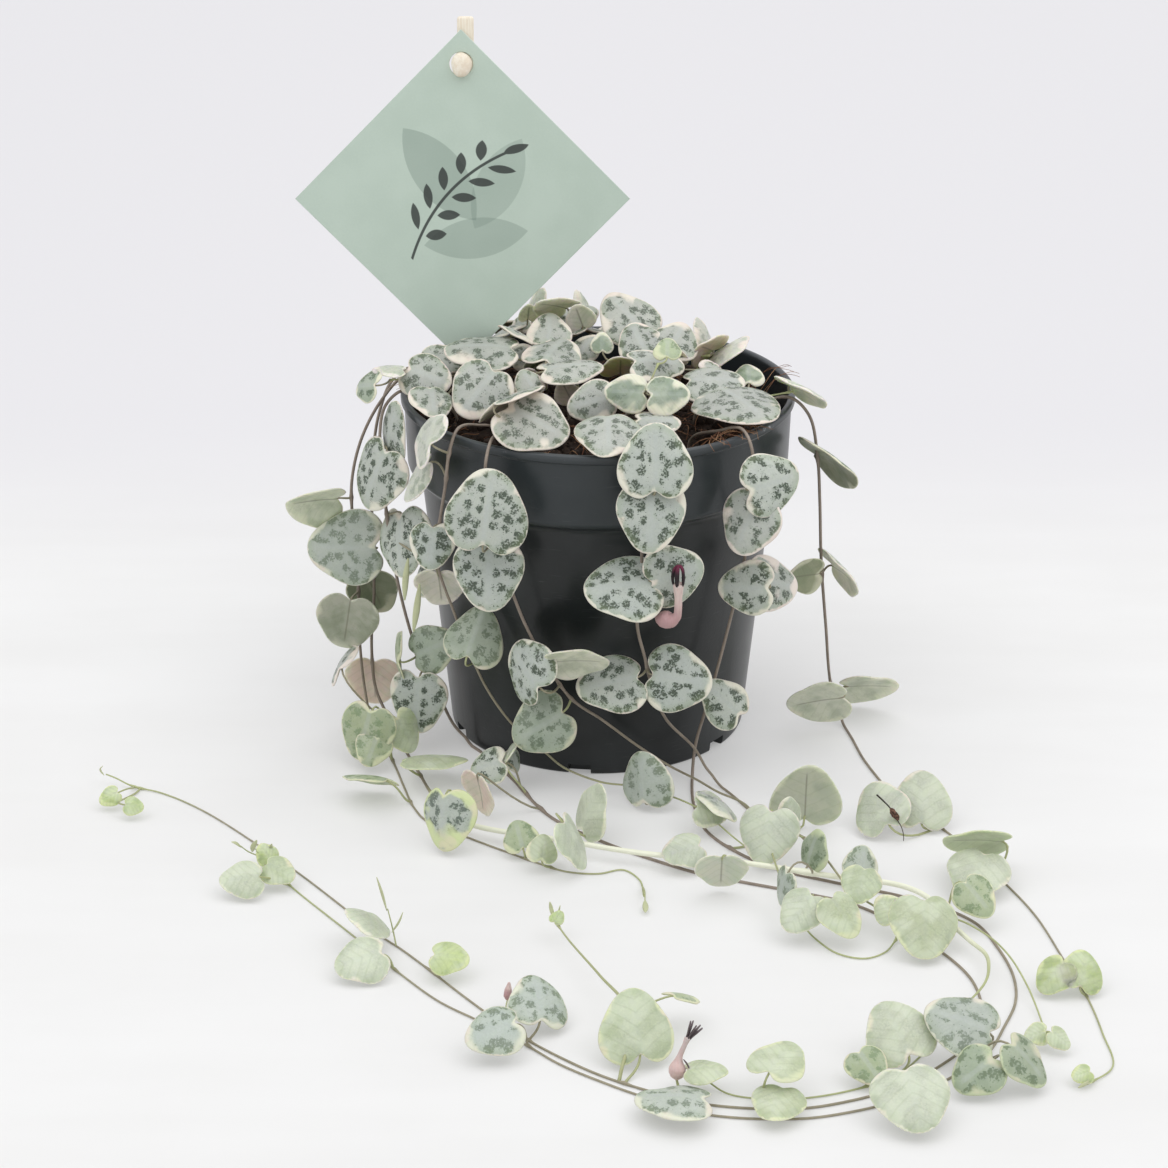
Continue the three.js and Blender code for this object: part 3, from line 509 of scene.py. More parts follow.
def soil_surface(rings=90, sides=260):
    """A closed body: rings about the axis at the height of the soil, one slightly smaller ring
    at its foot, and a pole at the middle of the top and of the underside."""
    radius = np.append(np.linspace(0, SOIL_RADIUS, rings + 1)[1:], SOIL_RADIUS - 1)[:, None]
    rows = rings_about_z(radius, 0.0, sides)
    rows[..., 2] = soil_height(rows[..., 0], rows[..., 1])
    rows[-1, :, 2] = SOIL_FOOT
    points = with_poles([0, 0, SOIL_MIDDLE], rows, [0, 0, SOIL_FOOT])
    return points * MM, [f[:, ::-1] for f in capped_faces(rings + 1, sides)], {}


SOIL_MIDDLE = float(soil_height(np.zeros(1), np.zeros(1))[0])
print("soil at the middle:", round(SOIL_MIDDLE, 1), "mm")


# %% Crumbs
def ball(rings=3, columns=7):
    """A coarse ball of radius one: rings of latitude between two poles."""
    polar = np.linspace(0, math.pi, rings + 2)[1:-1, None]
    rows = rings_about_z(np.sin(polar), np.cos(polar), columns)
    points = with_poles([0, 0, 1], rows, [0, 0, -1])
    return points, [f[:, ::-1] for f in capped_faces(rings, columns)]


def repeated(faces, copies, points_each):
    """The faces of many copies of one shape whose points follow each other."""
    start = (np.arange(copies) * points_each)[:, None, None]
    return [(array[None] + start).reshape(-1, array.shape[1]) for array in faces]


def scattered(count, reach):
    """Random places on a disc, evenly spread over its area."""
    radius = reach * np.sqrt(random.random(count))
    angle = 2 * math.pi * random.random(count)
    return radius * np.cos(angle), radius * np.sin(angle)


def crumbs(count):
    """Copies of the ball, each squashed, lumpy and half sunk in the soil."""
    shape, faces = ball()
    x, y = scattered(count, SOIL_RADIUS - 2)
    size = 0.45 + 1.5 * random.random(count) ** 3
    stretch = 0.6 + 0.8 * random.random((count, 1, 3))
    lumps = 1 + 0.35 * (random.random((count, len(shape), 1)) - 0.5)
    points = shape[None] * stretch * lumps * size[:, None, None]
    points += np.stack([x, y, soil_height(x, y) + 0.2 * size], -1)[:, None, :]
    return points.reshape(-1, 3) * MM, repeated(faces, count, len(shape)), {}


print("points of a crumb:", len(ball()[0]))


# %% Coir strands
def directions(paths):
    """Unit directions along paths, an array of (path, point, 3)."""
    steps = np.gradient(paths, axis=-2)
    return steps / np.linalg.norm(steps, axis=-1, keepdims=True)


def short_tubes(paths, radii, sides=5):
    """Tubes round many short paths at once: at each point a ring in the plane across the path,
    and at both ends a pole."""
    along = directions(paths)
    side = np.cross(along, np.array([0.31, 0.17, 0.93]))
    side /= np.linalg.norm(side, axis=-1, keepdims=True)
    up = np.cross(along, side)
    angle = round_angles(sides).T
    ring = np.cos(angle) * side[..., None, :] + np.sin(angle) * up[..., None, :]
    count, steps = paths.shape[:2]
    rings = (paths[..., None, :] + radii[..., None, None] * ring).reshape(count, -1, 3)
    starts = paths[:, :1] - radii[:, :1, None] * along[:, :1]
    ends = paths[:, -1:] + radii[:, -1:, None] * along[:, -1:]
    points = np.concatenate([starts, rings, ends], 1)
    return points.reshape(-1, 3), repeated(capped_faces(steps, sides), count, points.shape[1])


def coir_paths(count, length, lift, reach):
    """Bent lines that start in the soil: a straight run with a random heading, bowed sideways
    and upwards."""
    x, y = scattered(count, reach)
    heading = 2 * math.pi * random.random(count)
    run = length * (0.4 + 0.8 * random.random(count))
    t = np.linspace(0, 1, 9)[None, :]
    bow = run[:, None] * 0.35 * (random.random((count, 1)) - 0.5) * np.sin(math.pi * t)
    rise = lift * random.random((count, 1))
    rise = rise * np.sin(math.pi * t * (0.6 + 0.5 * random.random((count, 1))))
    px = x[:, None] + run[:, None] * t * np.cos(heading)[:, None] - bow * np.sin(heading)[:, None]
    py = y[:, None] + run[:, None] * t * np.sin(heading)[:, None] + bow * np.cos(heading)[:, None]
    inside = np.minimum(1.0, (SOIL_RADIUS - 1.0) / np.maximum(np.hypot(px, py), 1e-6))
    px, py = px * inside, py * inside
    pz = soil_height(px, py) + 0.15 + rise
    radius = np.broadcast_to(0.10 + 0.07 * random.random((count, 1)), px.shape)
    radii = radius * np.sin(math.pi * (0.08 + 0.84 * t)) ** 0.4
    return np.stack([px, py, pz], -1) * MM, radii * MM


STRAND_FOOT, WALL_START, WALL_RUN, LIP_OUTSIDE = 41.0, 42.0, 8.0, 52.6


def rim_strands(count, start, end):
    """Loose strands between two directions round the pot: from the soil up the inner wall,
    over the lip and a little way out, with random bows."""
    angle = np.radians(start + (end - start) * random.random((count, 1)))
    t = np.linspace(0, 1, 13)[None, :]
    reach = STRAND_FOOT + (12.5 + 3.0 * random.random((count, 1))) * t
    swing = 0.10 * (random.random((count, 1)) - 0.5) * t
    swing = swing + 0.05 * np.sin(5 * t + 6 * random.random((count, 1)))
    crest = POT_HEIGHT + 0.35 + 1.6 * random.random((count, 1))
    base = soil_height(STRAND_FOOT * np.cos(angle), STRAND_FOOT * np.sin(angle)) + 0.3
    rise = np.clip((reach - WALL_START) / WALL_RUN, 0, 1)
    height = base + (crest - base) * np.sin(rise * math.pi / 2)
    droop = np.clip((reach - LIP_OUTSIDE) / 2.5, 0, 1) ** 2
    height = height - 2.2 * random.random((count, 1)) * droop
    points = np.stack([reach * np.cos(angle + swing), reach * np.sin(angle + swing), height], -1)
    return points * MM, np.full(points.shape[:2], 0.10) * (1.1 - 0.5 * t) * MM


# %% Soil finishes
def soil_finish():
    """Dark peat in lumps with paler flecks."""
    f = Finish("potting_mix")
    spot = f.place()
    lump = f.noise(spot, 0.003, 4.0, 0.65)
    fleck = f.step(f.noise(spot, 0.0009, 2.0, 0.5), 0.62, 0.7)
    peat = f.mix(lump, (0.008, 0.005, 0.0035), (0.050, 0.027, 0.017))
    f.set(Base_Color=f.mix(f.times(fleck, 0.5), peat, (0.15, 0.085, 0.05)), Roughness=0.95,
          Normal=f.bump(f.noise(spot, 0.0007, 4.0, 0.7), 0.0006, 0.8))
    return f.material


def coir_finish():
    """Red-brown fibre that turns straw-coloured here and there."""
    f = Finish("coir_strand")
    tint = f.noise(f.place(), 0.006, 2.0)
    f.set(Base_Color=f.mix(f.step(tint, 0.35, 0.7), (0.15, 0.055, 0.025), (0.40, 0.23, 0.12)),
          Roughness=0.8)
    return f.material


# %% Soil and strands
CRUMBS = 1100
soil = make_mesh("soil_surface", [soil_surface(), crumbs(CRUMBS)], soil_finish())
attach(soil, "soil", "soil")
strand_groups = [coir_paths(count=300, length=9.0, lift=2.4, reach=SOIL_RADIUS - 3),
                 rim_strands(count=16, start=-58, end=-32),
                 rim_strands(count=5, start=4, end=20),
                 rim_strands(count=5, start=150, end=190)]
strand_surfaces = [(*short_tubes(paths, radii), {}) for paths, radii in strand_groups]
coir = make_mesh("coir_strands", strand_surfaces, coir_finish())
attach(coir, "soil")
print("strands:", sum(len(paths) for paths, _ in strand_groups))

# %% [markdown]
# ## Where the stems and leaves lie
# Every stem is a smooth curve through a few places, and every leaf has a middle, a width and
# three angles, and a few leaves a fold of their own. They repeat the solids' own places in
# millimetres, so the dressed plant lies where the solid one does. A stem's place with two
# numbers lies on the table.
#
# A letter for each leaf says how it looks. Blotched ones: s silvery, e like s with a slightly
# darker body and margin and softer blotches, as painted half shade, r with fewer, n with a
# pinkish margin, k with a broad pink one, v with a broad yellow-green one, f dull green, d
# darker, y yellow-green, and o with an olive lower face. Plainer ones: w with a whitish lower
# face, b with a pinkish one, c a grey-green middle in a cream margin, p pale, h pale and milky, g
# light green, and l fresh green.

# %% Places of the stems and leaves
LYING_HEIGHT = 1.2
GROWTHS = {
    "vine_right": {
        "looks": "oowrrhhgplll",
        "stems": [
            [(34, -6, 79), (34, -6, 89), (43, -10.5, 94.5), (50.4, -13.8, 97), (55.5, -14, 92),
             (58, -14, 80), (59, -13, 68), (60, -12, 50), (62, -10, 30), (64, -9, 12),
             (67, -9, 2.5), (69, -17), (72, -34), (80, -59), (90, -75), (100, -99), (106, -117),
             (110, -139), (113, -157), (114, -172), (114, -186), (107, -194, 1.6)],
        ],
        "leaves": [
            (62, -17, 80, 20, 120, 38, 270), (55, -17, 48, 11, 200, 10, 90),
            (66, -13, 47, 16, 112, 30, 270), (60, -15, 10, 17.5, 180, 25, 105),
            (75, -3, 9, 17, 180, 40, 270), (72, -72, 7.3, 16, -40, 55, 310),
            (83, -70, 8, 16, 0, 45, 5), (94, -94, 9, 17, 180, 40, 90),
            (93, -106, 6, 16, 0, 68, 200), (105, -154, 5, 10, -30, 50, 200),
            (112, -153, 6, 10.5, 20, 50, 30), (106, -193, 3, 5, 0, 60, 250),
        ],
    },
    "vine_right_front": {
        "looks": "skskspyddpeeppgl",
        "stems": [
            [(24, -24, 79), (24, -24, 89), (31, -32, 94.5), (36.5, -37.5, 97), (39, -42, 93),
             (39, -43, 84), (38, -39, 72), (38, -36, 60), (35, -36, 45), (32, -37, 32),
             (29, -38, 20), (26, -38, 8), (25, -44, 1.6), (25, -59), (28, -74), (36, -86),
             (45, -94), (57, -100), (73, -107), (82, -112), (91, -121), (95, -133), (97, -146),
             (96, -158), (92, -169), (87, -180), (78, -190), (66, -199), (55, -204), (42, -207),
             (22, -205), (9, -198), (0, -192), (-9, -185), (-17, -176.5), (-27, -167),
             (-37, -158), (-47, -145), (-60, -126), (-76, -103), (-84, -91, 2)],
        ],
        "leaves": [
            (44, -47, 86, 16, 20, 20, 80), (38, -48, 75, 16.5, -25, 20, 195),
            (38, -42, 55, 15, -20, 20, 265), (46, -37, 54, 16, 40, 30, 115),
            (33, -43, 23, 14, 20, 30, 320), (53, -72, 10.4, 20, 180, 12, 0),
            (91, -122, 8, 11.5, 10, 50, 150), (93.5, -194.5, 7, 13, 50, 45, 170),
            (82, -197, 6, 12, -20, 50, 220), (67, -209, 7, 17.5, 0, 65, 170),
            (15.5, -205.5, 4.6, 17, 180, 84, 90), (-24, -182, 7, 13.5, 0, 60, 245),
            (-56, -146.5, 5, 13, 0, 62, 250), (-88, -107, 5, 11, 0, 60, 260),
            (-79, -103, 5, 9, 0, 60, 120), (-83, -94, 5, 6, 20, 40, 330),
        ],
    },
    "vine_front": {
        "looks": "sssssspgggg",
        "stems": [
            [(10, -28, 79), (10, -28, 89), (12, -42, 94.5), (12.7, -50.4, 97.2), (13, -56, 92),
             (12, -55, 80), (11, -52, 70), (11, -52, 60), (10, -50, 48), (12, -48, 38),
             (14, -47, 29), (18, -44, 18), (25.5, -42, 8.8), (29, -44, 3.4), (33, -49), (40, -63),
             (45, -74), (50, -82, 4.4), (56, -96, 5.2), (61, -112, 5.2), (67, -122, 5.2),
             (75, -128, 5.2), (84, -127, 5.2), (91, -134, 5.2), (96, -145, 5), (100, -160, 2),
             (101, -175, 1.6)],
        ],
        "leaves": [
            (14, -60, 97, 19, 0, 23, 0), (13, -62, 82.5, 18.5, 0, 20, 180),
            (6, -58, 62, 20, 0, 52, 262), (19.5, -56, 64.5, 16, 15, 15, 80),
            (3, -52.4, 32.4, 18, 0, 50, 255), (21, -52, 33.5, 17.5, 0, 30, 98),
            (48, -86, 12, 9, 40, 10, 0), (63, -119, 10, 11, 0, 60, 200),
            (77, -135, 7.3, 17, 10, 52, 190), (98, -178, 4, 6, 0, 50, 250),
            (103, -180, 4, 6, 30, 50, 150),
        ],
    },
    "vine_front_left": {
        "looks": "ssrsfhpgg",
        "stems": [
            [(-20, -24, 79), (-20, -24, 89), (-24, -36, 94.5), (-27, -45, 97), (-28.5, -50, 92),
             (-28, -49, 82), (-27, -47, 68), (-23, -47, 58), (-19, -47, 47), (-14, -48, 37),
             (-7, -48, 26), (1, -46, 19), (11, -44, 10), (19, -43, 4), (26, -50, 3.4),
             (31, -58, 4), (38, -68, 5.2), (42, -84, 5.2), (44, -102, 5.2), (47, -120, 3),
             (52, -129), (57, -136), (63, -138), (68, -135), (71, -130, 1.6)],
        ],
        "leaves": [
            (-28, -56, 82, 21.5, 0, 20, 8), (-28, -52, 62.5, 19, 0, 18, 180),
            (-5.5, -57, 41.2, 17, 180, 40, 270), (-18.5, -54, 37.5, 17, -50, 15, 300),
            (-15, -52, 20, 17, -10, 20, 235), (42, -92, 9, 15, -20, 30, 180),
            (48, -129, 8, 12, -20, 50, 200), (58, -131, 8, 12, 30, 50, 170),
            (69, -125, 7, 8, -30, 50, 300),
        ],
    },
    "vine_left_front": {
        "looks": "wwsferp",
        "stems": [
            [(-26, -18, 79), (-26, -18, 89), (-31, -28, 94.5), (-36, -38, 97), (-38, -42, 92),
             (-39, -43, 84), (-41, -38, 71), (-42, -33, 58), (-38, -34, 45), (-34, -35, 34),
             (-29, -37, 23), (-22, -40, 14), (-14, -43, 8), (-9, -46, 5), (1, -51, 3.2),
             (8, -53, 3.2), (16, -57, 3.2), (25, -65, 3.2), (34, -82, 3.4), (37, -88, 3.6)],
        ],
        "leaves": [
            (-44, -38, 95, 15, -75, 30, 270), (-47, -34, 82, 13.5, -75, 30, 190),
            (-43, -41, 66, 12.5, -10, 20, 180), (-32, -42, 42, 16, 0, 40, 20, 0.6),
            (11.5, -61, 9, 15, -30, 15, 350, 0.4), (31, -74, 8, 13, 100, 55, 270),
            (29, -74, 7, 10, 30, 40, 120),
        ],
    },
    "vine_left": {
        "looks": "sssswfysspbsppeggyelplll",
        "stems": [
            [(-38, -4, 79), (-38, -4, 89), (-46, -6, 95), (-51.5, -8, 97), (-56, -10, 93.5),
             (-57.5, -12, 87), (-57, -14, 78), (-56, -15, 63), (-54, -16, 48), (-51, -16, 33),
             (-48, -18, 24), (-43, -20, 14), (-39, -22, 6), (-35, -23, 1.8), (-25, -39),
             (-12, -66), (2, -80), (14, -89), (25, -96), (37, -101), (50, -106), (61, -111),
             (69, -118), (75, -126), (83, -138), (87, -148), (88, -160), (86, -172), (78, -183),
             (66, -194), (54, -200), (42, -203), (22, -201), (9, -195), (0, -189.5), (-9, -182),
             (-17, -174), (-26, -163), (-47, -134), (-52, -128), (-74, -97), (-84, -84),
             (-103, -61.5), (-115, -51.5), (-123, -48.5, 1.6), (-130, -46, 3)],
            [(4, -192), (6, -184, 5), (6, -172, 7), (0, -154, 5), (-8, -134, 4), (-11, -127, 5)],
        ],
        "leaves": [
            (-54, -15.5, 89, 16, -62, 5, 20), (-58.5, -17, 76, 19, -45, 15, 195),
            (-52, -21, 59, 19, -45, 20, 160), (-46, -24, 50, 10.5, -60, 20, 180),
            (-41.5, -30, 50.2, 13, 170, 20, 180), (-44, -22, 29, 14, -20, 20, 60),
            (-54, -17, 25, 14.5, -85, 0, 270), (-48.5, -26, 14.5, 17, -15, 15, 180),
            (-29, -51, 8, 10.5, -30, 40, 240), (-24, -47, 9, 11, -100, 25, 270),
            (-30, -66, 7.5, 13, 130, 10, 180), (-22, -44, 6, 7, 60, 20, 180),
            (-2, -78, 9, 15, -60, 20, 10), (-6, -96, 9, 15, 75, 25, 180),
            (80, -183.2, 10.4, 17, 10, 65, 300), (38, -206.5, 4.4, 12, 0, 80, 200),
            (8, -182, 9, 17.5, 10, 48, 0, 0.3), (19, -168, 8, 9, 150, 60, 200),
            (-14, -168, 7, 14, 40, 60, 30), (-35, -147, 6, 9.5, 0, 65, 100),
            (-54.5, -133, 7.2, 13, 100, 60, 270), (-127, -61, 4, 6, 0, 40, 240),
            (-120, -66, 4, 5.5, 0, 50, 100), (-10, -129, 6.6, 3.8, 0, 50, 30),
        ],
    },
    "vine_left_outer": {
        "looks": "reeyyyyg",
        "stems": [
            [(-40, 4, 79), (-40, 4, 89), (-47, 3, 95), (-52, 2, 97), (-57.5, -1, 92),
             (-63, -3, 82), (-66, -4, 70), (-66, -5, 58), (-65, -6, 42), (-65, -7, 25),
             (-64, -9, 12), (-62, -14, 4), (-58, -24, 1.6), (-55, -33), (-51, -49), (-48, -60),
             (-44, -68), (-33, -77), (-24, -84), (-16, -90), (-8, -95), (0, -96), (6, -94),
             (10, -99), (11, -110, 2)],
        ],
        "leaves": [
            (-76, -8, 66, 16, 200, 30, 90, 0.4), (-68, -11, 53.5, 21, -10, 20, 268),
            (-68, -9, 31, 17, 175, 5, 170), (-62, -36, 10.2, 16, -20, 15, 190),
            (-60, -39, 7, 10, 0, 30, 200), (-60, -56, 7, 15, 170, 60, 110),
            (-20, -86, 6, 9, -20, 50, 330), (-14, -93, 6, 8, 20, 50, 20),
        ],
    },
    "vine_pale": {
        "looks": "okbggvhhdeepygg",
        "stems": [
            [(-43, 13, 79), (-43, 13, 89), (-47, 12, 95), (-51, 10, 97), (-55.5, 7.5, 94),
             (-58.5, 5, 87), (-60, 3, 80), (-61, 0, 67), (-61, -2, 52), (-61, -3, 36),
             (-62, -4, 22), (-61, -7, 10), (-57, -14, 4), (-52, -28, 2), (-47, -44, 2),
             (-43, -57, 2.4), (-34, -74, 3.2), (-10, -84, 3.6), (10, -91, 3.6), (35, -96, 3.6),
             (57, -103, 3.6), (74, -108, 3.6), (80, -114, 3.6), (84, -126, 3.6), (88, -135, 3.4),
             (91, -141, 3.2), (91, -147, 3.2), (89, -155, 3.4), (83, -164, 2.4), (77, -172),
             (72, -181), (65, -190), (54, -196), (43, -199), (35, -199), (28, -197),
             (23, -193, 2)],
        ],
        "leaves": [
            (-61, 0.5, 35.7, 14, 180, 10, 200), (-69, -15.5, 22, 13, -95, 36, 270),
            (-61.5, -3.5, 10.8, 16, 175, 10, 180), (-51.5, -33, 9, 12, 40, 20, 160),
            (-43, -47, 8, 18, 180, 75, 270), (-39, -84, 9, 16, -30, 20, 170, 0.4),
            (21, -94, 6, 11, 0, 60, 250), (30, -107, 7.5, 13.5, 180, 25, 180),
            (53, -99, 9, 10.5, -60, 20, 0), (44.5, -116.5, 7.6, 10, -70, 10, 180),
            (65, -102, 7, 9, 20, 40, 20), (66, -183, 8, 16, -10, 55, 330),
            (59, -193, 5, 10, 0, 60, 150), (39, -197, 9.6, 13, 0, 80, 30),
            (23, -196, 6, 10, 0, 88, 90),
        ],
    },
    "vine_back_left": {
        "looks": "nnnnnn",
        "stems": [
            [(-12, 32, 79), (-12, 32, 89), (-13, 43, 94.5), (-14, 50.2, 97), (-15, 56, 92),
             (-15, 55, 80), (-14, 52, 66), (-12, 51, 50), (-10, 49, 36), (-11, 48, 26)],
        ],
        "leaves": [
            (-20, 59, 86, 17, 190, 20, 210), (-8, 59, 84, 16, 170, 20, 150),
            (-21, 56, 66, 15, 195, 15, 240), (-5, 56, 62, 16, 170, 25, 120),
            (-17, 53, 46, 14, 190, 20, 230), (-12, 51, 27, 9, 180, 20, 180),
        ],
    },
    "vine_back_right": {
        "looks": "nnnnn",
        "stems": [
            [(10, 30, 79), (10, 30, 89), (13, 41, 94.5), (16, 50, 97), (18, 54, 92), (18, 53, 82),
             (16, 52, 70), (17, 51, 58), (18, 49, 48)],
        ],
        "leaves": [
            (12, 60, 84, 16, 185, 20, 190), (25, 56, 82, 17, 160, 20, 150),
            (11.5, 56, 64, 15, 190, 25, 230), (24, 54, 60, 14, 160, 15, 140),
            (18, 52, 47, 9, 175, 20, 180),
        ],
    },
    "crown_left": {
        "looks": "nnow",
        "stems": [
            [(-30, 3, 79), (-30, 3, 90), (-35, 1, 97), (-45, -3, 99), (-55, -7, 99.5)],
            [(-35, 1, 97), (-39, -9, 97), (-41, -18, 96)],
        ],
        "leaves": [
            (-45, -8, 101, 14.5, -10, 50, 110), (-43, -22, 99, 12.5, 30, 65, 200),
            (-61, -10, 99, 10, -60, 30, 250), (-55, -8, 103, 9, 0, 88, 270),
        ],
    },
    "crown_front_left": {
        "looks": "nnn",
        "stems": [
            [(-17, -12, 79), (-17, -12, 90), (-19, -20, 96.5), (-20, -30, 97.4),
             (-18, -38, 97.6)],
        ],
        "leaves": [
            (-31, -20, 101, 17, 0, 42, 215), (-21.5, -36.5, 105, 18.5, -133, 55, 270),
            (-16.2, -43.2, 101, 19.5, 10, 55, 130),
        ],
    },
    "crown_middle": {
        "looks": "nnnnnnbob",
        "stems": [
            [(-8, 0, 79), (-8, 0, 90), (-12, 2, 99), (-22, 3, 102), (-30, 2, 103)],
            [(-8, 0, 90), (-6, -8, 98.5), (-4, -18, 98.5)],
            [(-12, 2, 99), (-13, 8, 103), (-13, 12, 105)],
        ],
        "leaves": [
            (-31, 0, 106, 20, 0, 82, 270), (-7, -10, 104, 17.5, 0, 84, 80),
            (-2, -25, 99.8, 13, -10, 40, 250), (-13, 11, 108, 12.5, 0, 65, 0),
            (-11.5, 0, 105.5, 17, 10, 85, 30), (-22, 9, 107.5, 11, 120, 60, 0),
            (-8, -13, 98.5, 8, 175, 20, 20), (-15.5, 0.5, 102, 9, 180, 50, 0),
            (-17.7, -4, 99, 9, 170, 30, 0),
        ],
    },
    "crown_front": {
        "looks": "nccyn",
        "stems": [
            [(4, -19, 79), (4, -19, 90), (5, -30, 96.5), (4, -38, 97.5)],
            [(5, -28, 95.5), (11, -27, 100.5), (12.5, -27, 104), (15.5, -20, 108.5)],
        ],
        "leaves": [
            (2.4, -48, 99.5, 18.6, 0, 75, 180), (7, -29, 104, 11.5, -5, 45, 268),
            (18, -31, 104, 11.5, 5, 45, 92), (18, -13, 110.5, 7.5, 0, 60, 0),
            (15, -36, 98.7, 12.5, 0, 80, 100),
        ],
    },
    "crown_right": {
        "looks": "nncw",
        "stems": [
            [(26, -6, 79), (26, -6, 90), (32, -12, 96.6), (41, -15, 97.4), (51, -14, 98.8)],
        ],
        "leaves": [
            (37, -27, 100, 23.5, 0, 84, 150), (30.5, -13.5, 101.5, 16.5, 0, 75, 90),
            (40, -1, 99.2, 9, 0, 70, 0), (54, -17, 100, 16, 125, 50, 270),
        ],
    },
    "crown_back_right": {
        "looks": "nnnnbbkbbcn",
        "stems": [
            [(14, 10, 79), (14, 10, 90), (15, 6, 100), (16, -3, 102)],
            [(14.2, 9.9, 90.6), (22, 11, 99), (30, 10, 100.5)],
            [(13.9, 10.1, 91.1), (10, 17, 101), (7, 20, 105)],
        ],
        "leaves": [
            (15.5, -9, 105, 15.5, 40, 72, 120), (11, 6, 106.5, 13.5, -10, 60, 330),
            (21, 7, 106.5, 13.5, 20, 62, 40), (8, 19, 109, 17.5, 10, 55, 330),
            (29, 9.5, 103, 13.5, 229, 37, 60), (34, 8.5, 101.7, 18, 264, 53, 60),
            (30, 0, 100, 6.5, 20, 40, 100), (6, 1, 101, 11.5, 180, 45, 0),
            (21.3, 2.4, 103, 6, 180, 30, 0), (1.1, 8.2, 105, 6.8, 0, 50, 0),
            (14.5, 25.5, 100.4, 12.5, 150, 60, 330),
        ],
    },
    "crown_back_left": {
        "looks": "wnnnnnnnnwwn",
        "stems": [
            [(-10, 22, 79), (-10, 22, 90), (-12, 20, 102), (-17, 18, 106)],
            [(-9.9, 22.1, 90.6), (-2, 27, 98), (10, 33, 97.5)],
            [(-10.2, 22, 91.2), (-18, 30, 98), (-24, 36, 97.5)],
        ],
        "leaves": [
            (-12, 19, 112, 14, 200, 50, 60), (-6, 24, 107, 14, -30, 75, 20),
            (-4, 30, 101.5, 15, 170, 70, 0), (8, 36, 100.5, 14, 180, 70, 330),
            (-14, 36, 101, 15, 190, 65, 20), (-25, 36, 101, 13, 200, 60, 60),
            (-26, 25, 102, 13, 250, 60, 90), (20, 33, 100, 12, 150, 65, 300),
            (-21, 26.5, 104, 6.5, -20, 55, 340), (-19, 25, 108, 6, 200, 20, 0),
            (-5, 17.5, 109.2, 8.5, 190, 15, 20), (-37, 25, 99.5, 13, 230, 70, 60),
        ],
    },
}

leaf_count = sum(len(growth["leaves"]) for growth in GROWTHS.values())
for name, growth in GROWTHS.items():
    assert len(growth["looks"]) == len(growth["leaves"]), name
print("growths:", len(GROWTHS), "leaves:", leaf_count)

# %% [markdown]
# ## Stems
# A stem is a thin tube carried along its curve. Straight tubes need only one direction across
# them, but a stem turns every way, so the direction is carried along from ring to ring and
# made square to the stem again each time. The tube swells a little where leaves sit on it.


# %% Smooth curves and tubes
STEM_SIDES, STALK_SIDES = 9, 8


def smooth_route(places, samples=10):
    """A centripetal Catmull-Rom curve: between two places it is the cubic whose end slopes come
    from the places before and after, spaced by the square root of their distance."""
    p = np.array([(*place, LYING_HEIGHT)[:3] for place in places], float)
    p = np.concatenate([2 * p[:1] - p[1:2], p, 2 * p[-1:] - p[-2:-1]])
    gap = np.sqrt(np.linalg.norm(np.diff(p, axis=0), axis=1))[:, None]
    p0, p1, p2, p3 = p[:-3], p[1:-2], p[2:-1], p[3:]
    g0, g1, g2 = gap[:-2], gap[1:-1], gap[2:]
    m1 = ((p1 - p0) / g0 - (p2 - p0) / (g0 + g1) + (p2 - p1) / g1) * g1
    m2 = ((p2 - p1) / g1 - (p3 - p1) / (g1 + g2) + (p3 - p2) / g2) * g1
    t = np.linspace(0, 1, samples, endpoint=False)[None, :, None]
    a, b, m1, m2 = p1[:, None], p2[:, None], m1[:, None], m2[:, None]
    curve = (a + m1 * t + (3 * (b - a) - 2 * m1 - m2) * t**2 + (2 * (a - b) + m1 + m2) * t**3)
    return np.concatenate([curve.reshape(-1, 3), p[-2:-1]])


def carried_frames(path):
    """Two directions across a path at each point, carried along it without twist."""
    along = directions(path)
    start = np.eye(3)[np.argmin(np.abs(along[0]))]
    side = np.zeros_like(along)
    for i, way in enumerate(along):
        start = unit(start - way * (start @ way))
        side[i] = start
    return side, np.cross(along, side)


def tube(path, radius, sides=STEM_SIDES, flat=1.0):
    """A tube round a path: a ring across the path at each point, of the radius there, and a
    pole a little beyond each end. Flat squashes the rings across."""
    path = np.asarray(path, float)
    radius = np.broadcast_to(np.asarray(radius, float), len(path))
    way = directions(path)
    side, up = carried_frames(path)
    angle = round_angles(sides)[..., None]
    ring = np.cos(angle) * side[:, None] + flat * np.sin(angle) * up[:, None]
    rings = path[:, None] + radius[:, None, None] * ring
    start, end = path[0] - way[0] * radius[0] * 0.6, path[-1] + way[-1] * radius[-1] * 0.6
    return with_poles(start, rings, end), capped_faces(len(path), sides)


def along_share(path):
    """How far along a path each point lies, from 0 to 1."""
    run = np.concatenate([[0], np.cumsum(np.linalg.norm(np.diff(path, axis=0), axis=1))])
    return run / run[-1]


def spread(value, count, sides=STEM_SIDES):
    """A value for each point of a path, repeated round the rings of its tube and its poles."""
    value = np.broadcast_to(np.asarray(value, float), count)
    return np.concatenate([value[:1], np.repeat(value, sides), value[-1:]])


def smooth_step(value, low, high):
    """From 0 to 1 as the value goes from low to high, level at both ends."""
    t = np.clip((np.asarray(value, float) - low) / (high - low), 0, 1)
    return t * t * (3 - 2 * t)


print("points on a curve through three places:", len(smooth_route([(0, 0), (9, 0), (9, 9)])))


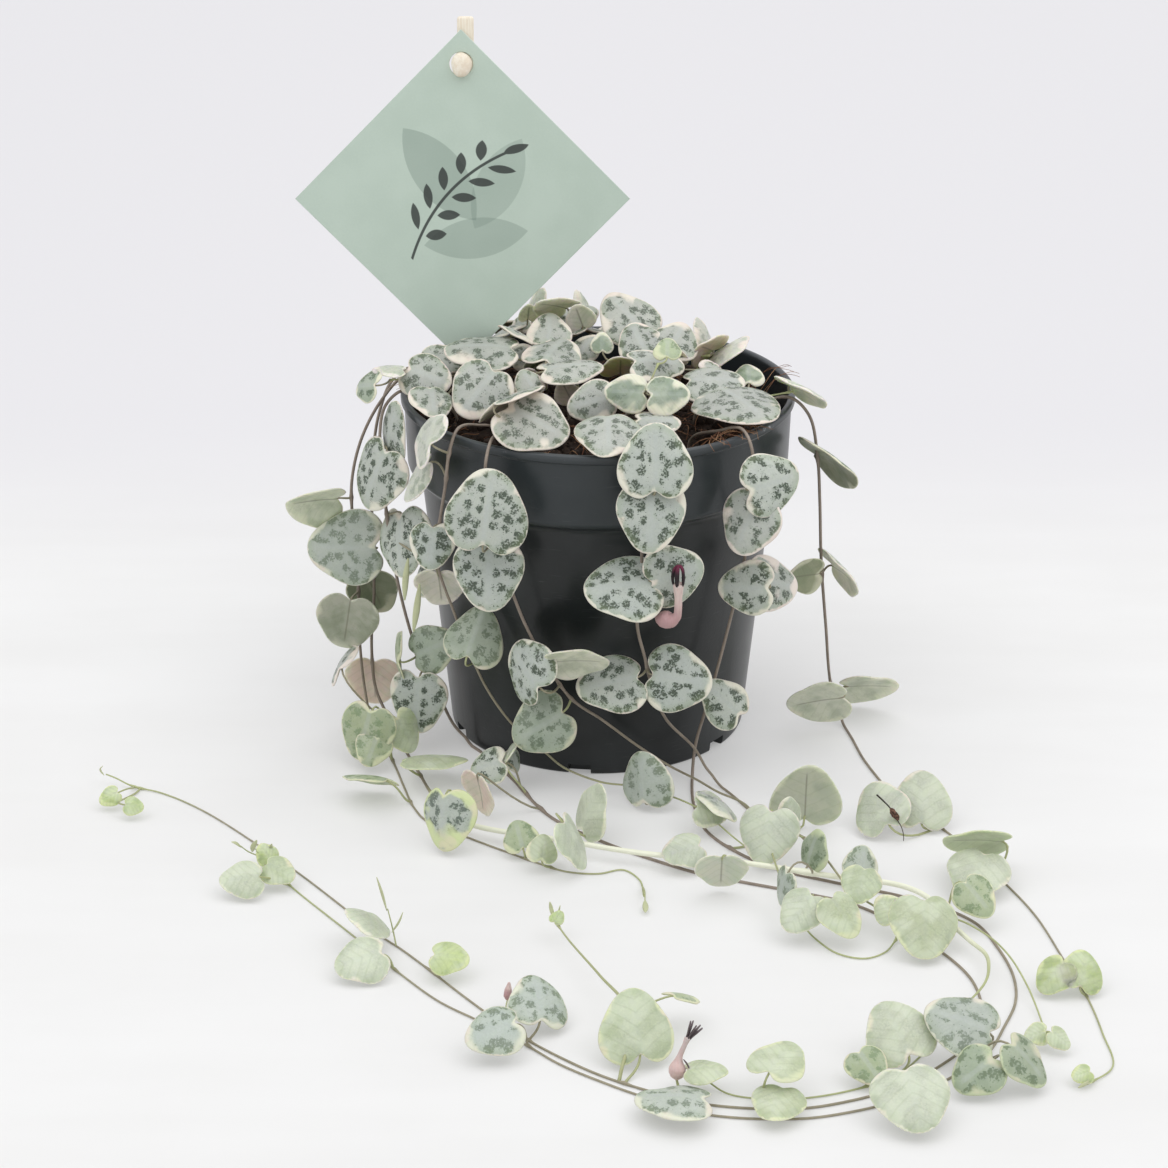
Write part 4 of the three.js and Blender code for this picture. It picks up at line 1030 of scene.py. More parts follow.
# %% Stem finish
def stem_finish():
    """Brown-grey at the soil, green towards the tips and cream on the pale runner, with fine
    streaks."""
    f = Finish("stem_skin")
    tone = f.attribute("tone")
    streak = f.noise(f.place(), 0.0025, 3.0, 0.6)
    old = f.mix(streak, (0.17, 0.137, 0.11), (0.37, 0.305, 0.25))
    fresh = f.mix(streak, (0.34, 0.37, 0.17), (0.50, 0.54, 0.28))
    cream = f.mix(streak, (0.82, 0.83, 0.66), (0.88, 0.89, 0.74))
    color = f.mix(f.step(tone, 0.0, 0.6), old, fresh)
    color = f.mix(f.step(tone, 0.6, 1.0), color, cream)
    f.set(Base_Color=color, Roughness=0.5, Normal=f.bump(streak, 0.0001, 0.5))
    return f.material


STEM_SKIN = stem_finish()
print("stem finish nodes:", len(STEM_SKIN.node_tree.nodes))

# %% [markdown]
# ## Leaves
# A leaf is a heart whose edge lies at a known distance from its middle for each angle. The
# square grid is pressed into a disc, and the disc is stretched to the heart, so that no pole
# of thin triangles spoils the shine. The upper face is a low dome with a groove along the
# midrib, the lower face bulges along it, and both meet in a rounded edge.

# %% Leaf shape
LEAF_GRID = 25
LEAF_THICKNESS = 1.0
LARGE_LEAF = 18
NOTCH_SHARE = 0.40
TABLE_GAP = 0.05
PATTERN_SHIFT = 90
LEAF_DOME, LEAF_FOLD, LEAF_SET_BACK = 0.2, 0.12, 0.4
FOLD_SOFTNESS, FOLD_SOFTNESS_SQUARED = 0.03, 0.0009
RIB_WIDTH, RIB_REACH, RIB_ABOVE, RIB_BELOW = 0.03, 0.40, 0.20, 0.22


def edge_distance(angle):
    """The heart's edge, for a leaf one unit wide: a circle with three ripples, and a notch at
    half a turn from the tip."""
    blade = 0.4975 - 0.061 * np.cos(angle) + 0.0225 * np.cos(2 * angle)
    blade = blade + 0.034 * np.cos(3 * angle)
    return blade - 0.14 * np.exp(-(((math.pi - np.abs(angle)) / 0.26) ** 2))


def disc_grid(count):
    """A square grid pressed into a disc: each square ring becomes a circle. Returns the share of
    the radius and the angle of each point."""
    a, b = np.meshgrid(np.linspace(-1, 1, count), np.linspace(-1, 1, count), indexing="ij")
    wide = np.abs(a) > np.abs(b)
    ring = np.where(wide, a, b)
    other = np.where(wide, b, a)
    slope = np.divide(other, ring, out=np.zeros_like(ring), where=np.abs(ring) > 1e-9)
    angle = np.where(wide, slope * math.pi / 4, math.pi / 2 - slope * math.pi / 4)
    angle = np.where(ring < 0, angle + math.pi, angle)
    return np.abs(ring).ravel(), (angle.ravel() + math.pi) % (2 * math.pi) - math.pi


def two_faced(count):
    """Faces of two grids that share their outermost points: the upper grid, and the lower one
    the other way round."""
    upper = np.arange(count * count).reshape(count, count)
    rim = np.zeros((count, count), bool)
    rim[0] = rim[-1] = rim[:, 0] = rim[:, -1] = True
    lower = np.where(rim, upper, 0)
    lower[~rim] = count * count + np.arange((~rim).sum())
    faces = grid_faces(count, count)
    return np.concatenate([faces, lower.ravel()[faces][:, ::-1]]), rim.ravel()


RING, ANGLE = disc_grid(LEAF_GRID)
RING = 1 - (1 - RING) ** 1.5
LEAF_FACES, RIM = two_faced(LEAF_GRID)
UNDER = ~RIM


def leaf_frame(turn, lift, clock):
    """The face, tip and across directions of a leaf. Turn swings its face from -Y towards +X,
    lift tips the face up, and clock turns the tip clockwise from the top."""
    t, l, c = np.radians([turn, lift, clock])
    face = np.array([math.cos(l) * math.sin(t), -math.cos(l) * math.cos(t), math.sin(l)])
    top = np.array([-math.sin(l) * math.sin(t), math.sin(l) * math.cos(t), math.cos(l)])
    side = np.array([math.cos(t), math.sin(t), 0.0])
    tip = top * math.cos(c) + side * math.sin(c)
    return face, tip, np.cross(tip, face)


print("points a leaf:", LEAF_GRID**2 + int(UNDER.sum()))

# %% Looks of the leaves
# Each look: leaf colour, colour of the blotches, how strong they are, margin colour, margin
# width in millimetres, colour of the lower face, and how pink that face is.
LOOKS = {
    "s": ((0.48, 0.52, 0.475), (0.058, 0.078, 0.054), 0.95,
          (0.78, 0.76, 0.64), 1.00, (0.40, 0.42, 0.33), 0.15),
    # e: like s with a slightly darker body and margin and softer blotches, as painted half shade.
    "e": ((0.45, 0.50, 0.45), (0.16, 0.20, 0.145), 0.80,
          (0.70, 0.71, 0.58), 0.90, (0.44, 0.47, 0.38), 0.10),
    "n": ((0.45, 0.465, 0.425), (0.085, 0.105, 0.076), 0.88,
          (0.79, 0.735, 0.63), 1.50, (0.60, 0.53, 0.45), 0.50),
    "h": ((0.56, 0.59, 0.50), (0.64, 0.66, 0.57), 0.30,
          (0.72, 0.69, 0.60), 0.60, (0.60, 0.62, 0.53), 0.20),
    "l": ((0.50, 0.57, 0.28), (0.40, 0.49, 0.20), 0.35,
          (0.62, 0.67, 0.40), 0.60, (0.50, 0.57, 0.32), 0.00),
    "k": ((0.47, 0.49, 0.45), (0.075, 0.095, 0.070), 0.90,
          (0.82, 0.74, 0.67), 2.20, (0.66, 0.58, 0.52), 0.60),
    "d": ((0.29, 0.35, 0.24), (0.13, 0.18, 0.10), 0.85,
          (0.52, 0.58, 0.38), 1.10, (0.34, 0.39, 0.27), 0.00),
    "p": ((0.54, 0.57, 0.46), (0.62, 0.64, 0.53), 0.35,
          (0.72, 0.73, 0.60), 0.60, (0.58, 0.61, 0.50), 0.10),
    "g": ((0.48, 0.53, 0.36), (0.58, 0.62, 0.45), 0.35,
          (0.67, 0.70, 0.49), 0.60, (0.54, 0.59, 0.42), 0.00),
    "y": ((0.39, 0.455, 0.275), (0.20, 0.28, 0.14), 0.78,
          (0.66, 0.69, 0.46), 1.10, (0.46, 0.51, 0.33), 0.00),
    "c": ((0.22, 0.28, 0.205), (0.11, 0.15, 0.10), 0.55,
          (0.76, 0.76, 0.60), 2.00, (0.48, 0.49, 0.38), 0.10),
    "b": ((0.56, 0.56, 0.50), (0.16, 0.18, 0.14), 0.40,
          (0.80, 0.72, 0.64), 1.40, (0.76, 0.68, 0.60), 0.70),
    "o": ((0.42, 0.48, 0.38), (0.10, 0.14, 0.09), 0.90,
          (0.74, 0.73, 0.56), 1.10, (0.27, 0.31, 0.19), 0.10),
    "w": ((0.58, 0.59, 0.51), (0.24, 0.28, 0.22), 0.50,
          (0.82, 0.79, 0.69), 1.40, (0.72, 0.71, 0.62), 0.20),
    "f": ((0.36, 0.42, 0.33), (0.10, 0.14, 0.085), 0.75,
          (0.60, 0.62, 0.46), 0.60, (0.40, 0.43, 0.33), 0.00),
    "r": ((0.45, 0.49, 0.44), (0.085, 0.11, 0.08), 0.60,
          (0.76, 0.76, 0.62), 1.20, (0.66, 0.69, 0.57), 0.10),
    "v": ((0.46, 0.50, 0.45), (0.10, 0.13, 0.105), 0.90,
          (0.62, 0.69, 0.38), 2.60, (0.50, 0.55, 0.40), 0.00),
}
print("looks of leaves:", len(LOOKS))


def leaf_surface(place, look, seed):
    """A heart-shaped leaf with two faces. Its height over the plane of its edge is a dome less a
    fold along the midrib, a slight wave round the edge and a groove on the midrib. A leaf that
    would dip below the table is raised until it rests on it."""
    x, y, z, size, turn, lift, clock, fold = (*place, LEAF_FOLD)[:8]
    face, tip, across = leaf_frame(turn, lift, clock)
    draw = np.random.default_rng(seed)
    distance = RING * edge_distance(ANGLE)
    wave = 0.013 * np.sin(3 * ANGLE + 6 * draw.random())
    wave = wave + 0.010 * np.sin(5 * ANGLE + 6 * draw.random())
    u, v = distance * np.sin(ANGLE), distance * np.cos(ANGLE)
    u = u * (0.93 + 0.12 * draw.random()) + 0.30 * (draw.random() - 0.5) * v * np.abs(v)
    soft_fold = np.sqrt(u * u + FOLD_SOFTNESS_SQUARED) - FOLD_SOFTNESS
    height = 0.05 - LEAF_DOME * (u * u + v * v) - fold * soft_fold + wave * RING**3
    thick = LEAF_THICKNESS * (0.6 + 0.4 * min(size, LARGE_LEAF) / LARGE_LEAF)
    bulge = np.sqrt(np.clip(1 - RING**7, 0, 1))
    rib = np.exp(-((u / RIB_WIDTH) ** 2)) * np.clip((v + RIB_REACH) / 0.1, 0, 1)
    rib = rib * np.clip((RIB_REACH - v) / 0.3, 0, 1)
    upper = height * size - LEAF_SET_BACK + thick / 2 * bulge - RIB_ABOVE * rib
    lower = height * size - LEAF_SET_BACK - thick / 2 * bulge - RIB_BELOW * rib
    flat = np.array([x, y, z], float) + size * (u[:, None] * across + v[:, None] * tip)
    points = np.concatenate([flat + upper[:, None] * face, (flat + lower[:, None] * face)[UNDER]])
    points[:, 2] += max(0.0, TABLE_GAP - points[:, 2].min())

    def every(value):
        return np.broadcast_to(np.asarray(value, float), (len(points), np.size(value)))

    def both(value):
        return np.concatenate([value, value[UNDER]])

    body, blotch, strength, margin, width, back, pink = LOOKS[look]
    tone = 0.90 + 0.18 * draw.random()
    tone = tone * (1 + np.array([0.03, 0.0, -0.03]) * (draw.random() - 0.5))
    skin = np.stack([u * size, v * size, np.zeros_like(u)], -1)
    inward = (1 - RING) * edge_distance(ANGLE) * size
    values = {
        "skin": both(skin), "pattern": both(skin + PATTERN_SHIFT * draw.random(3)),
        "inward": both(inward),
        "under": np.concatenate([np.where(RIM, 0.3, 0.0), np.ones(UNDER.sum())]),
        "body": every(np.array(body) * tone), "blotch": every(blotch), "margin": every(margin),
        "back": every(np.array(back) * tone), "strength": every(strength), "pink": every(pink),
        "width": every(width * (0.7 + 0.6 * draw.random())), "size": every(size),
    }
    return points, [LEAF_FACES], values


# %% [markdown]
# ### The leaf's skin
# The blotches are clusters of small dark marks between pale veins. Cells a little over 3 mm
# across say where a cluster is, and a finer noise breaks it into marks, which stay off the
# midrib. The cream margin is a thin line all round that widens here and there to a soft patch,
# and a thinner pale line right at the edge is a painted highlight on the rounded rim. Every
# number comes from the leaf's own flat coordinates, so the pattern follows the blade however it
# lies. The lower face is grey-green with a dark midrib and olive patches that are partly its own
# colour and partly painted shade, and only hints at the blotches.


# %% Leaf finish
def leaf_finish():
    """Upper face with blotches and midrib, cream margin, lower face and veins, from the
    values that each leaf carries."""
    f = Finish("leaf_skin")
    across, ahead, _ = f.parts(f.attribute("skin", "Vector"))
    pattern = f.attribute("pattern", "Vector")
    sideways = f.math("ABSOLUTE", across)
    size, inward = f.attribute("size"), f.attribute("inward")
    strength, margin = f.attribute("strength"), f.attribute("margin", "Color")

    sway = f.node("VectorMath", operation="SUBTRACT",
                  inputs={0: f.noise(pattern, 1.6, 1.0, output="Color"), 1: (0.5, 0.5, 0.5)})
    bent = f.node("VectorMath", operation="MULTIPLY_ADD",
                  inputs={0: sway, 1: (1.8, 1.8, 1.8), 2: pattern})
    cells = f.node("TexVoronoi", voronoi_dimensions="2D", feature="F1",
                   inputs={"Vector": bent, "Scale": 1 / 3.3, "Randomness": 0.9})
    cluster = f.fall(cells, 0.18, 0.55)
    fleck = f.noise(pattern, 0.50, 2.0, 0.6)
    coarse = f.noise(pattern, 1.5, 1.0)
    grain = f.plus(f.times(coarse, 0.25), f.times(fleck, 0.75))
    near_edge = f.fall(inward, 0.5, 2.6)
    clear = f.fall(sideways, 0.45, 1.5)
    field = f.plus(grain, f.times(cluster, 0.19), f.times(near_edge, 0.03), f.times(clear, -0.22))
    dark = f.times(f.step(field, 0.575, 0.70), strength)

    cloud = f.noise(pattern, 5.0, 2.0)
    body = f.attribute("body", "Color")
    body = f.mix(f.step(cloud, 0.35, 0.7, 0.0, 0.25), body, (0.60, 0.63, 0.56))
    body = f.mix(f.step(fleck, 0.35, 0.65, 0.14, 0.0), body, (0.20, 0.23, 0.18))
    body = f.mix(f.times(near_edge, strength, 0.45), body, (0.35, 0.42, 0.29))
    stain = f.step(f.plus(coarse, f.times(cluster, 0.30), f.times(clear, -0.30)), 0.58, 0.84)
    body = f.mix(f.times(stain, strength, 0.55), body, (0.24, 0.30, 0.23))
    blotch = f.mix(f.times(near_edge, 0.5), f.attribute("blotch", "Color"), (0.17, 0.22, 0.11))
    top = f.mix(dark, body, blotch)
    rib_ends = f.fall(ahead, f.times(size, 0.26), f.times(size, 0.40))
    rib = f.times(f.fall(sideways, 0.08, 0.34), rib_ends)
    band = f.times(f.fall(sideways, 0.3, 0.8), rib_ends, strength)
    top = f.mix(f.times(band, 0.35), top, (0.47, 0.51, 0.49))
    thin = f.fall(strength, 0.3, 0.9)
    low = f.noise(pattern, 6.0, 2.0)
    top = f.mix(f.times(f.step(low, 0.42, 0.62), thin, 0.5), top, (0.68, 0.72, 0.60))

    patch = f.step(f.noise(pattern, 7.0, 1.0), 0.49, 0.68)
    reach = f.times(f.plus(f.times(patch, 1.80), 0.32), f.attribute("width"))
    ragged = f.plus(inward, f.times(f.plus(f.noise(pattern, 1.3, 2.0), -0.5), 1.1))
    cream = f.fall(ragged, f.times(reach, 0.35), f.times(reach, 1.35))
    # Painted highlight: a thin pale line right at the edge, where the rounded rim catches the
    # light.
    line = f.times(f.fall(inward, 0.06, 0.30), 0.55)
    cream = f.math("MAXIMUM", cream, line)
    edge_tint = f.mix(f.step(cloud, 0.50, 0.64, 0.0, 0.35), margin, (0.78, 0.62, 0.57))
    top = f.mix(cream, top, edge_tint)

    # Olive patches on the lower face: partly its own colour, partly painted shade.
    shade = f.times(f.step(low, 0.40, 0.66), strength, 0.60)
    below = f.mix(shade, f.attribute("back", "Color"), (0.20, 0.23, 0.14))
    below = f.mix(f.times(dark, 0.22), below, (0.18, 0.22, 0.13))
    blush = f.times(f.fall(low, 0.42, 0.60), f.attribute("pink"), 0.8)
    below = f.mix(blush, below, (0.60, 0.43, 0.40))
    below = f.mix(f.times(cream, 0.62), below, edge_tint)
    below = f.mix(f.times(rib, 0.55), below, (0.17, 0.16, 0.11))

    vein_run = f.plus(ahead, f.times(sideways, -0.75), f.times(f.noise(pattern, 5.0, 1.0), 1.5))
    vein = f.fall(f.math("PINGPONG", vein_run, f.times(size, 0.09)), 0.05, 0.45)
    skin = f.mix(f.step(f.attribute("under"), 0.35, 0.6), top, below)
    skin = f.mix(f.times(vein, f.plus(f.times(thin, 0.11), 0.03)), skin, (0.28, 0.33, 0.18))
    fine = f.noise(pattern, 0.25, 2.0, 0.5)
    swell = f.plus(f.times(vein, -0.35), f.times(fine, 0.25), f.times(dark, -0.2))
    f.set(Base_Color=skin, Roughness=f.step(f.noise(pattern, 2.0, 2.0), 0.3, 0.7, 0.42, 0.55),
          Normal=f.bump(swell, 0.00012, 0.6))
    f.set(Subsurface_Weight=f.plus(f.times(thin, 0.45), 0.12), Subsurface_Radius=(0.8, 1.0, 0.5),
          Subsurface_Scale=0.002)
    return f.material


LEAF_SKIN = leaf_finish()
print("leaf finish nodes:", len(LEAF_SKIN.node_tree.nodes))

# %% [markdown]
# ## The growths
# Each leaf hangs on a stalk that leaves the stem beside it, curves and arrives in line with the
# blade. The stem is greenest at its tip. One runner is cream where it lies on the table.

# %% Stalks
STEM_RADIUS, GROUND_RADIUS, TIP_RADIUS = 0.42, 0.31, 0.20
STALK_RADIUS, PALE_RADIUS = 0.28, 0.70
STALK_LOWEST, STEM_GAP = 0.45, 0.03
BURIED_POINTS = 12
SWELL, SWELL_REACH = 0.22, 1.0


def stalk_foot(notch, tip, routes):
    """The place on the stems where a leaf's stalk starts: near its notch, and for choice behind
    it rather than under the blade."""
    spots = np.concatenate([route[BURIED_POINTS:] for route in routes])
    reach = spots - notch
    cost = np.linalg.norm(reach, axis=1) + 0.7 * np.maximum(0, reach @ tip)
    return spots[np.argmin(cost)]


def stalk_path(foot, notch, face, tip):
    """A cubic curve from the stem to the notch that arrives in line with the blade."""
    length = np.linalg.norm(notch - foot)
    leave = foot + 0.35 * (notch - foot) - 0.18 * length * face
    arrive = notch - tip * 0.4 * length - face * 0.1 * length
    end = notch + tip * 1.2 - face * 0.35
    t = np.linspace(0, 1, 11)[:, None]
    path = (1 - t) ** 3 * foot + 3 * (1 - t) ** 2 * t * leave
    path = path + 3 * (1 - t) * t**2 * arrive + t**3 * end
    path[:, 2] = np.maximum(path[:, 2], STALK_LOWEST)
    return path


# %% Tones and thickness of the stems
GREEN_FROM = {"vine_left": 0.93, "vine_right_front": 0.84, "vine_right": 0.80,
              "vine_left_outer": 0.80}
CREAM_START, CREAM_END = (0.36, 0.42), (0.72, 0.82)
SETTLING, SETTLED_BELOW, FREE_ABOVE = 0.85, 1.3, 2.6


def stem_tone(name, index, share):
    """How green a stem is along its length: brown, then from some share on greener to the tip.
    A side shoot of a vine is greenish all along. The pale runner is cream for most of its
    length."""
    if name == "vine_pale":
        rise, fall = smooth_step(share, *CREAM_START), smooth_step(share, *CREAM_END)
        return 0.05 + 0.95 * rise * (1 - 0.50 * fall)
    if index > 0 and name.startswith("vine"):
        return np.full_like(share, 0.42)
    start = GREEN_FROM.get(name, 0.55)
    return 0.18 * smooth_step(share, 0.3, 0.6) + 0.40 * smooth_step(share, start, 1.0)


def stem_radius(name, share, gap):
    """The stem tapers, swells where a leaf's stalk is near, and the pale runner is thicker."""
    radius = np.interp(share, [0, 0.3, 0.6, 1.0],
                       [STEM_RADIUS, STEM_RADIUS, GROUND_RADIUS, TIP_RADIUS])
    if name == "vine_pale":
        pale = smooth_step(share, *CREAM_START) * (1 - smooth_step(share, *CREAM_END))
        radius = radius + (PALE_RADIUS - radius) * pale
    return radius + SWELL * np.exp(-((gap / SWELL_REACH) ** 2))


def laid_down(route):
    """A route whose lowest stretches come down until the thin stem lies on the table."""
    drop = SETTLING * (1 - smooth_step(route[:, 2], SETTLED_BELOW, FREE_ABOVE))
    return route - drop[:, None] * np.array([0.0, 0.0, 1.0])


print("stems taper from", STEM_RADIUS, "to", TIP_RADIUS, "mm of radius")


# %% Leaves and stems of every growth
SEEDED = [*sorted(GROWTHS), "crown_young"]
OLD_LOOKS = "sknbowcder"
OLD_STALK, YOUNG_STALK = 0.20, 0.46


def growth_surfaces(name, growth):
    """The leaves of one growth, and its stems and stalks, as two lists of surfaces."""
    routes = [laid_down(smooth_route(places)) for places in growth["stems"]]
    leaves, stems, feet = [], [], []
    for index, (place, look) in enumerate(zip(growth["leaves"], growth["looks"])):
        seed = 1000 * SEEDED.index(name) + index
        points, faces, values = leaf_surface(place, look, seed)
        leaves.append((points * MM, faces, values))
        face, tip, _ = leaf_frame(*place[4:7])
        notch = np.array(place[:3], float) - tip * NOTCH_SHARE * place[3]
        foot = stalk_foot(notch, tip, routes)
        feet.append(foot)
        path = stalk_path(foot, notch, face, tip)
        radius = STALK_RADIUS * (0.7 + 0.3 * min(place[3], LARGE_LEAF) / LARGE_LEAF)
        points, faces = tube(path, np.linspace(radius * 1.2, radius, len(path)), STALK_SIDES)
        tone = OLD_STALK if look in OLD_LOOKS else YOUNG_STALK
        stems.append((points * MM, faces, {"tone": spread(tone, len(path), STALK_SIDES)}))
    for index, route in enumerate(routes):
        share = along_share(route)
        gap = np.linalg.norm(route[:, None] - np.array(feet)[None], axis=2).min(1)
        radius = stem_radius(name, share, gap)
        route[:, 2] = np.maximum(route[:, 2], radius + STEM_GAP)
        points, faces = tube(route, radius)
        tone = spread(stem_tone(name, index, share), len(route))
        stems.append((points * MM, faces, {"tone": tone}))
    return leaves, stems


for name, growth in GROWTHS.items():
    leaves, stems = growth_surfaces(name, growth)
    attach(make_mesh(f"{name}_leaves", leaves, LEAF_SKIN), "foliage", name)
    attach(make_mesh(f"{name}_stems", stems, STEM_SKIN), "foliage", name)
print("growths dressed:", len(GROWTHS))

# %% [markdown]
# ### Young leaves in the crown
# Small leaves stand among the large ones over the soil, each on its own short shoot. They fill
# the gaps between the solids' leaves and keep clear of them.

# %% Young crown leaves
CROWN_YOUNG = {
    "looks": "nnnnwwb",
    "stems": [
        [(-37, 12, 79), (-37, 12, 90), (-39, 11, 95)],
        [(-18, 13, 79), (-18, 13, 90), (-18.5, 13.5, 95)],
        [(-2, 10, 79), (-2, 10, 90), (-2.5, 11, 97)],
        [(-19, -10, 79), (-19, -10, 90), (-19, -11, 97)],
        [(-10, 31, 79), (-10, 31, 92), (-10, 33, 101)],
        [(27, 17, 79), (27, 17, 90), (27, 18, 98)],
    ],
    "leaves": [
        (-42.5, 8, 99.5, 13, -20, 45, 300), (-20.5, 15.5, 99, 9, 20, 50, 60),
        (-3, 12.5, 102.5, 9, -20, 55, 20), (-18.2, -13.5, 101.5, 8.5, 10, 55, 340),
        (-17, 34, 107.5, 10, -65, 25, 10), (-4, 38, 105.5, 10, 70, 20, 340),
        (29, 20, 103, 11, 70, 30, 20),
    ],
}
leaves, stems = growth_surfaces("crown_young", CROWN_YOUNG)
attach(make_mesh("crown_young_leaves", leaves, LEAF_SKIN), "foliage")
attach(make_mesh("crown_young_stems", stems, STEM_SKIN), "foliage")
print("young crown leaves:", len(leaves))

# %% [markdown]
# ### Buds and growing tips
# New growth ends in a hooked tip with two or three tiny leaves that are still folded, so they
# look like spindles. A spindle is a tube whose radius swells and falls again, squashed flat.
# They follow the ends of the stems and stay green.


# %% Spindles and shoots
SPINDLE_TONE = 0.72


def spindle(places, radius, flat=0.45):
    """A tube on a smooth curve whose radius is a half sine wave, squashed across."""
    path = smooth_route(places, 5)
    swell = np.sin(math.pi * (0.06 + 0.88 * along_share(path))) ** 0.8
    points, faces = tube(path, radius * swell, STALK_SIDES, flat)
    return points * MM, faces, {"tone": spread(SPINDLE_TONE, len(path), STALK_SIDES)}


def shoot(places, radius, tone):
    """A thin even stem on a smooth curve."""
    path = smooth_route(places, 6)
    points, faces = tube(path, np.linspace(radius, 0.7 * radius, len(path)), STALK_SIDES)
    return points * MM, faces, {"tone": spread(tone, len(path), STALK_SIDES)}


SHOOTS = [
    ([(-48.5, -133, 1.0), (-49.2, -133.6, 6.0), (-50.2, -134, 11.5)], 0.20, 0.66),
    ([(-86, -88, 1.2), (-88, -91, 4.0), (-89.5, -93, 6.6)], 0.20, 0.66),
    ([(-84, -91, 1.6), (-85.0, -94, 5.0), (-85.2, -98, 8.4)], 0.18, 0.66),
    ([(-21, -168, 0.8), (-21.6, -164, 2.2), (-21.2, -161.5, 3.6)], 0.20, 0.60),
    ([(10.6, -104, 1.4), (11.2, -109, 2.4), (11.2, -113, 1.6)], 0.22, 0.50),
]
SPINDLES = [
    ([(-130.6, -45.8, 2.6), (-131.6, -45.4, 4.2), (-130.8, -45.4, 5.2)], 0.45),
    ([(-50.4, -134, 11.0), (-51.4, -134, 15.5), (-52.6, -134, 20.0)], 0.75),
    ([(-49.4, -133.8, 5.0), (-47.6, -134, 8.0), (-46.6, -134, 10.6)], 0.60),
    ([(-89.3, -93, 6.2), (-90.6, -93.4, 7.6), (-91.6, -93.6, 8.0)], 0.60),
    ([(-86, -98, 7.6), (-85.6, -99, 9.6), (-84.6, -99.5, 11.6)], 0.70),
    ([(-84, -90, 3.0), (-82.4, -92, 5.0), (-81.6, -93.5, 7.4)], 0.60),
    ([(11.2, -112.4, 1.8), (11.3, -115, 1.3), (11.2, -117.2, 1.2)], 0.75),
    ([(-11, -126.6, 5.0), (-11.6, -125.6, 7.0), (-11.9, -125.4, 8.6)], 0.50),
    ([(-11, -126.8, 5.0), (-9.8, -126.4, 6.6), (-9.4, -126.4, 8.2)], 0.55),
    ([(-49.5, -34.5, 60.0), (-50.2, -36, 55.0), (-50.6, -36.4, 49.0)], 0.85),
    ([(-46.6, -35.5, 53.0), (-47.4, -37, 47.0), (-48.4, -37.4, 40.5)], 0.90),
    ([(108, -193.6, 1.8), (106.4, -195, 1.6), (104.8, -196, 1.3)], 0.60),
]
sprouts = [shoot(*shape) for shape in SHOOTS] + [spindle(*shape) for shape in SPINDLES]
attach(make_mesh("growing_tips", sprouts, STEM_SKIN), "foliage")
print("shoots and spindles:", len(sprouts))

# %% [markdown]
# ## The label card and its stake
# A square card stands on its corner, held by a wooden stake whose peg comes through a punched
# hole. The card is one closed sheet: rings that run from the hole to the edge on the front,
# over the cut edge, and back to the hole behind. Along a ray from the middle of the hole, the
# edge is the nearest of the four straight sides.

# %% Card values
CARD_SIDE, CARD_TOP, CARD_BACK = 63.0, 0.7, 0.1
CARD_LEAN = 8.0
CARD_SHARP, STAKE_SHARP = math.radians(35), math.radians(50)
CARD_MIDDLE = np.array([-36.0, 19.0, 141.5])
HOLE_RADIUS, HOLE_INSET = 3.1, 9.0
HALF_DIAGONAL = CARD_SIDE / math.sqrt(2)
HOLE_HEIGHT = HALF_DIAGONAL - HOLE_INSET


def on_card(points):
    """From the card's own axes, X across, Y up and Z forward, to the plant's."""
    lean = math.radians(90 - CARD_LEAN)
    x, y, z = points[..., 0], points[..., 1], points[..., 2]
    turned_points = np.stack([x, y * math.cos(lean) - z * math.sin(lean),
                              y * math.sin(lean) + z * math.cos(lean)], -1)
    return (turned_points + CARD_MIDDLE) * MM


print("hole:", round(HOLE_HEIGHT, 1), "mm above the card's middle")


# %% Card sheet
def card_surface():
    """Rings at shares of the way from the hole to the edge. Front and back meet in a slightly
    rounded edge, both outside and in the hole."""
    corners = [math.pi / 2, -math.pi / 2,
               math.atan2(-HOLE_HEIGHT, HALF_DIAGONAL), math.atan2(-HOLE_HEIGHT, -HALF_DIAGONAL)]
    angle = np.unique(np.concatenate([np.linspace(-math.pi, math.pi, 121)[:-1] + 0.01, corners]))
    signs = np.array([(1, 1), (1, -1), (-1, 1), (-1, -1)], float)[:, :, None]
    away = signs[:, 0] * np.cos(angle) + signs[:, 1] * np.sin(angle)
    reach = (HALF_DIAGONAL - signs[:, 1] * HOLE_HEIGHT) / np.where(away > 1e-6, away, 1e-6)
    reach = reach.min(0)
    inner = np.array([0.03, 0.1, 0.2, 0.35, 0.5, 0.65, 0.8, 0.92])
    soft, flat = 0.14, 0 * inner
    share = np.concatenate([[0], inner, [1, 1, 1, 1], inner[::-1], [0, 0, 0]])[:, None]
    inset = np.concatenate([[soft], flat, [-soft, 0, 0, -soft], flat, [soft, 0, 0]])[:, None]
    down = [CARD_TOP, CARD_TOP - soft, CARD_BACK + soft, CARD_BACK]
    up = [CARD_BACK, CARD_BACK + soft, CARD_TOP - soft]
    level = np.concatenate([[CARD_TOP], flat + CARD_TOP, down, flat + CARD_BACK, up])[:, None]
    radius = HOLE_RADIUS + share * (reach - HOLE_RADIUS) + inset
    x, y = radius * np.cos(angle), HOLE_HEIGHT + radius * np.sin(angle)
    z = np.broadcast_to(level, x.shape)
    points = np.stack([x, y, z], -1).reshape(-1, 3)
    front = np.broadcast_to(np.where(level > CARD_TOP - 0.01, 1.0, 0.0), x.shape).ravel()
    wall = np.abs(level - (CARD_TOP + CARD_BACK) / 2) < (CARD_TOP - CARD_BACK) / 2 - 0.01
    faces = grid_faces(len(share), len(angle), closed=True, looped=True)
    values = {"print": points * (1, 1, 0), "front": front,
              "cut": np.broadcast_to(np.where(wall, 1.0, 0.0), x.shape).ravel()}
    return on_card(points), [faces[:, ::-1]], values


# %% [markdown]
# The print is a plain design of soft leaf shapes under a dark twig. A leaf shape is a lens,
# where two circles overlap: a point lies in it if it is near enough to both middles. The
# twig's leaves are one lens repeated along a slightly curved line and mirrored across it.


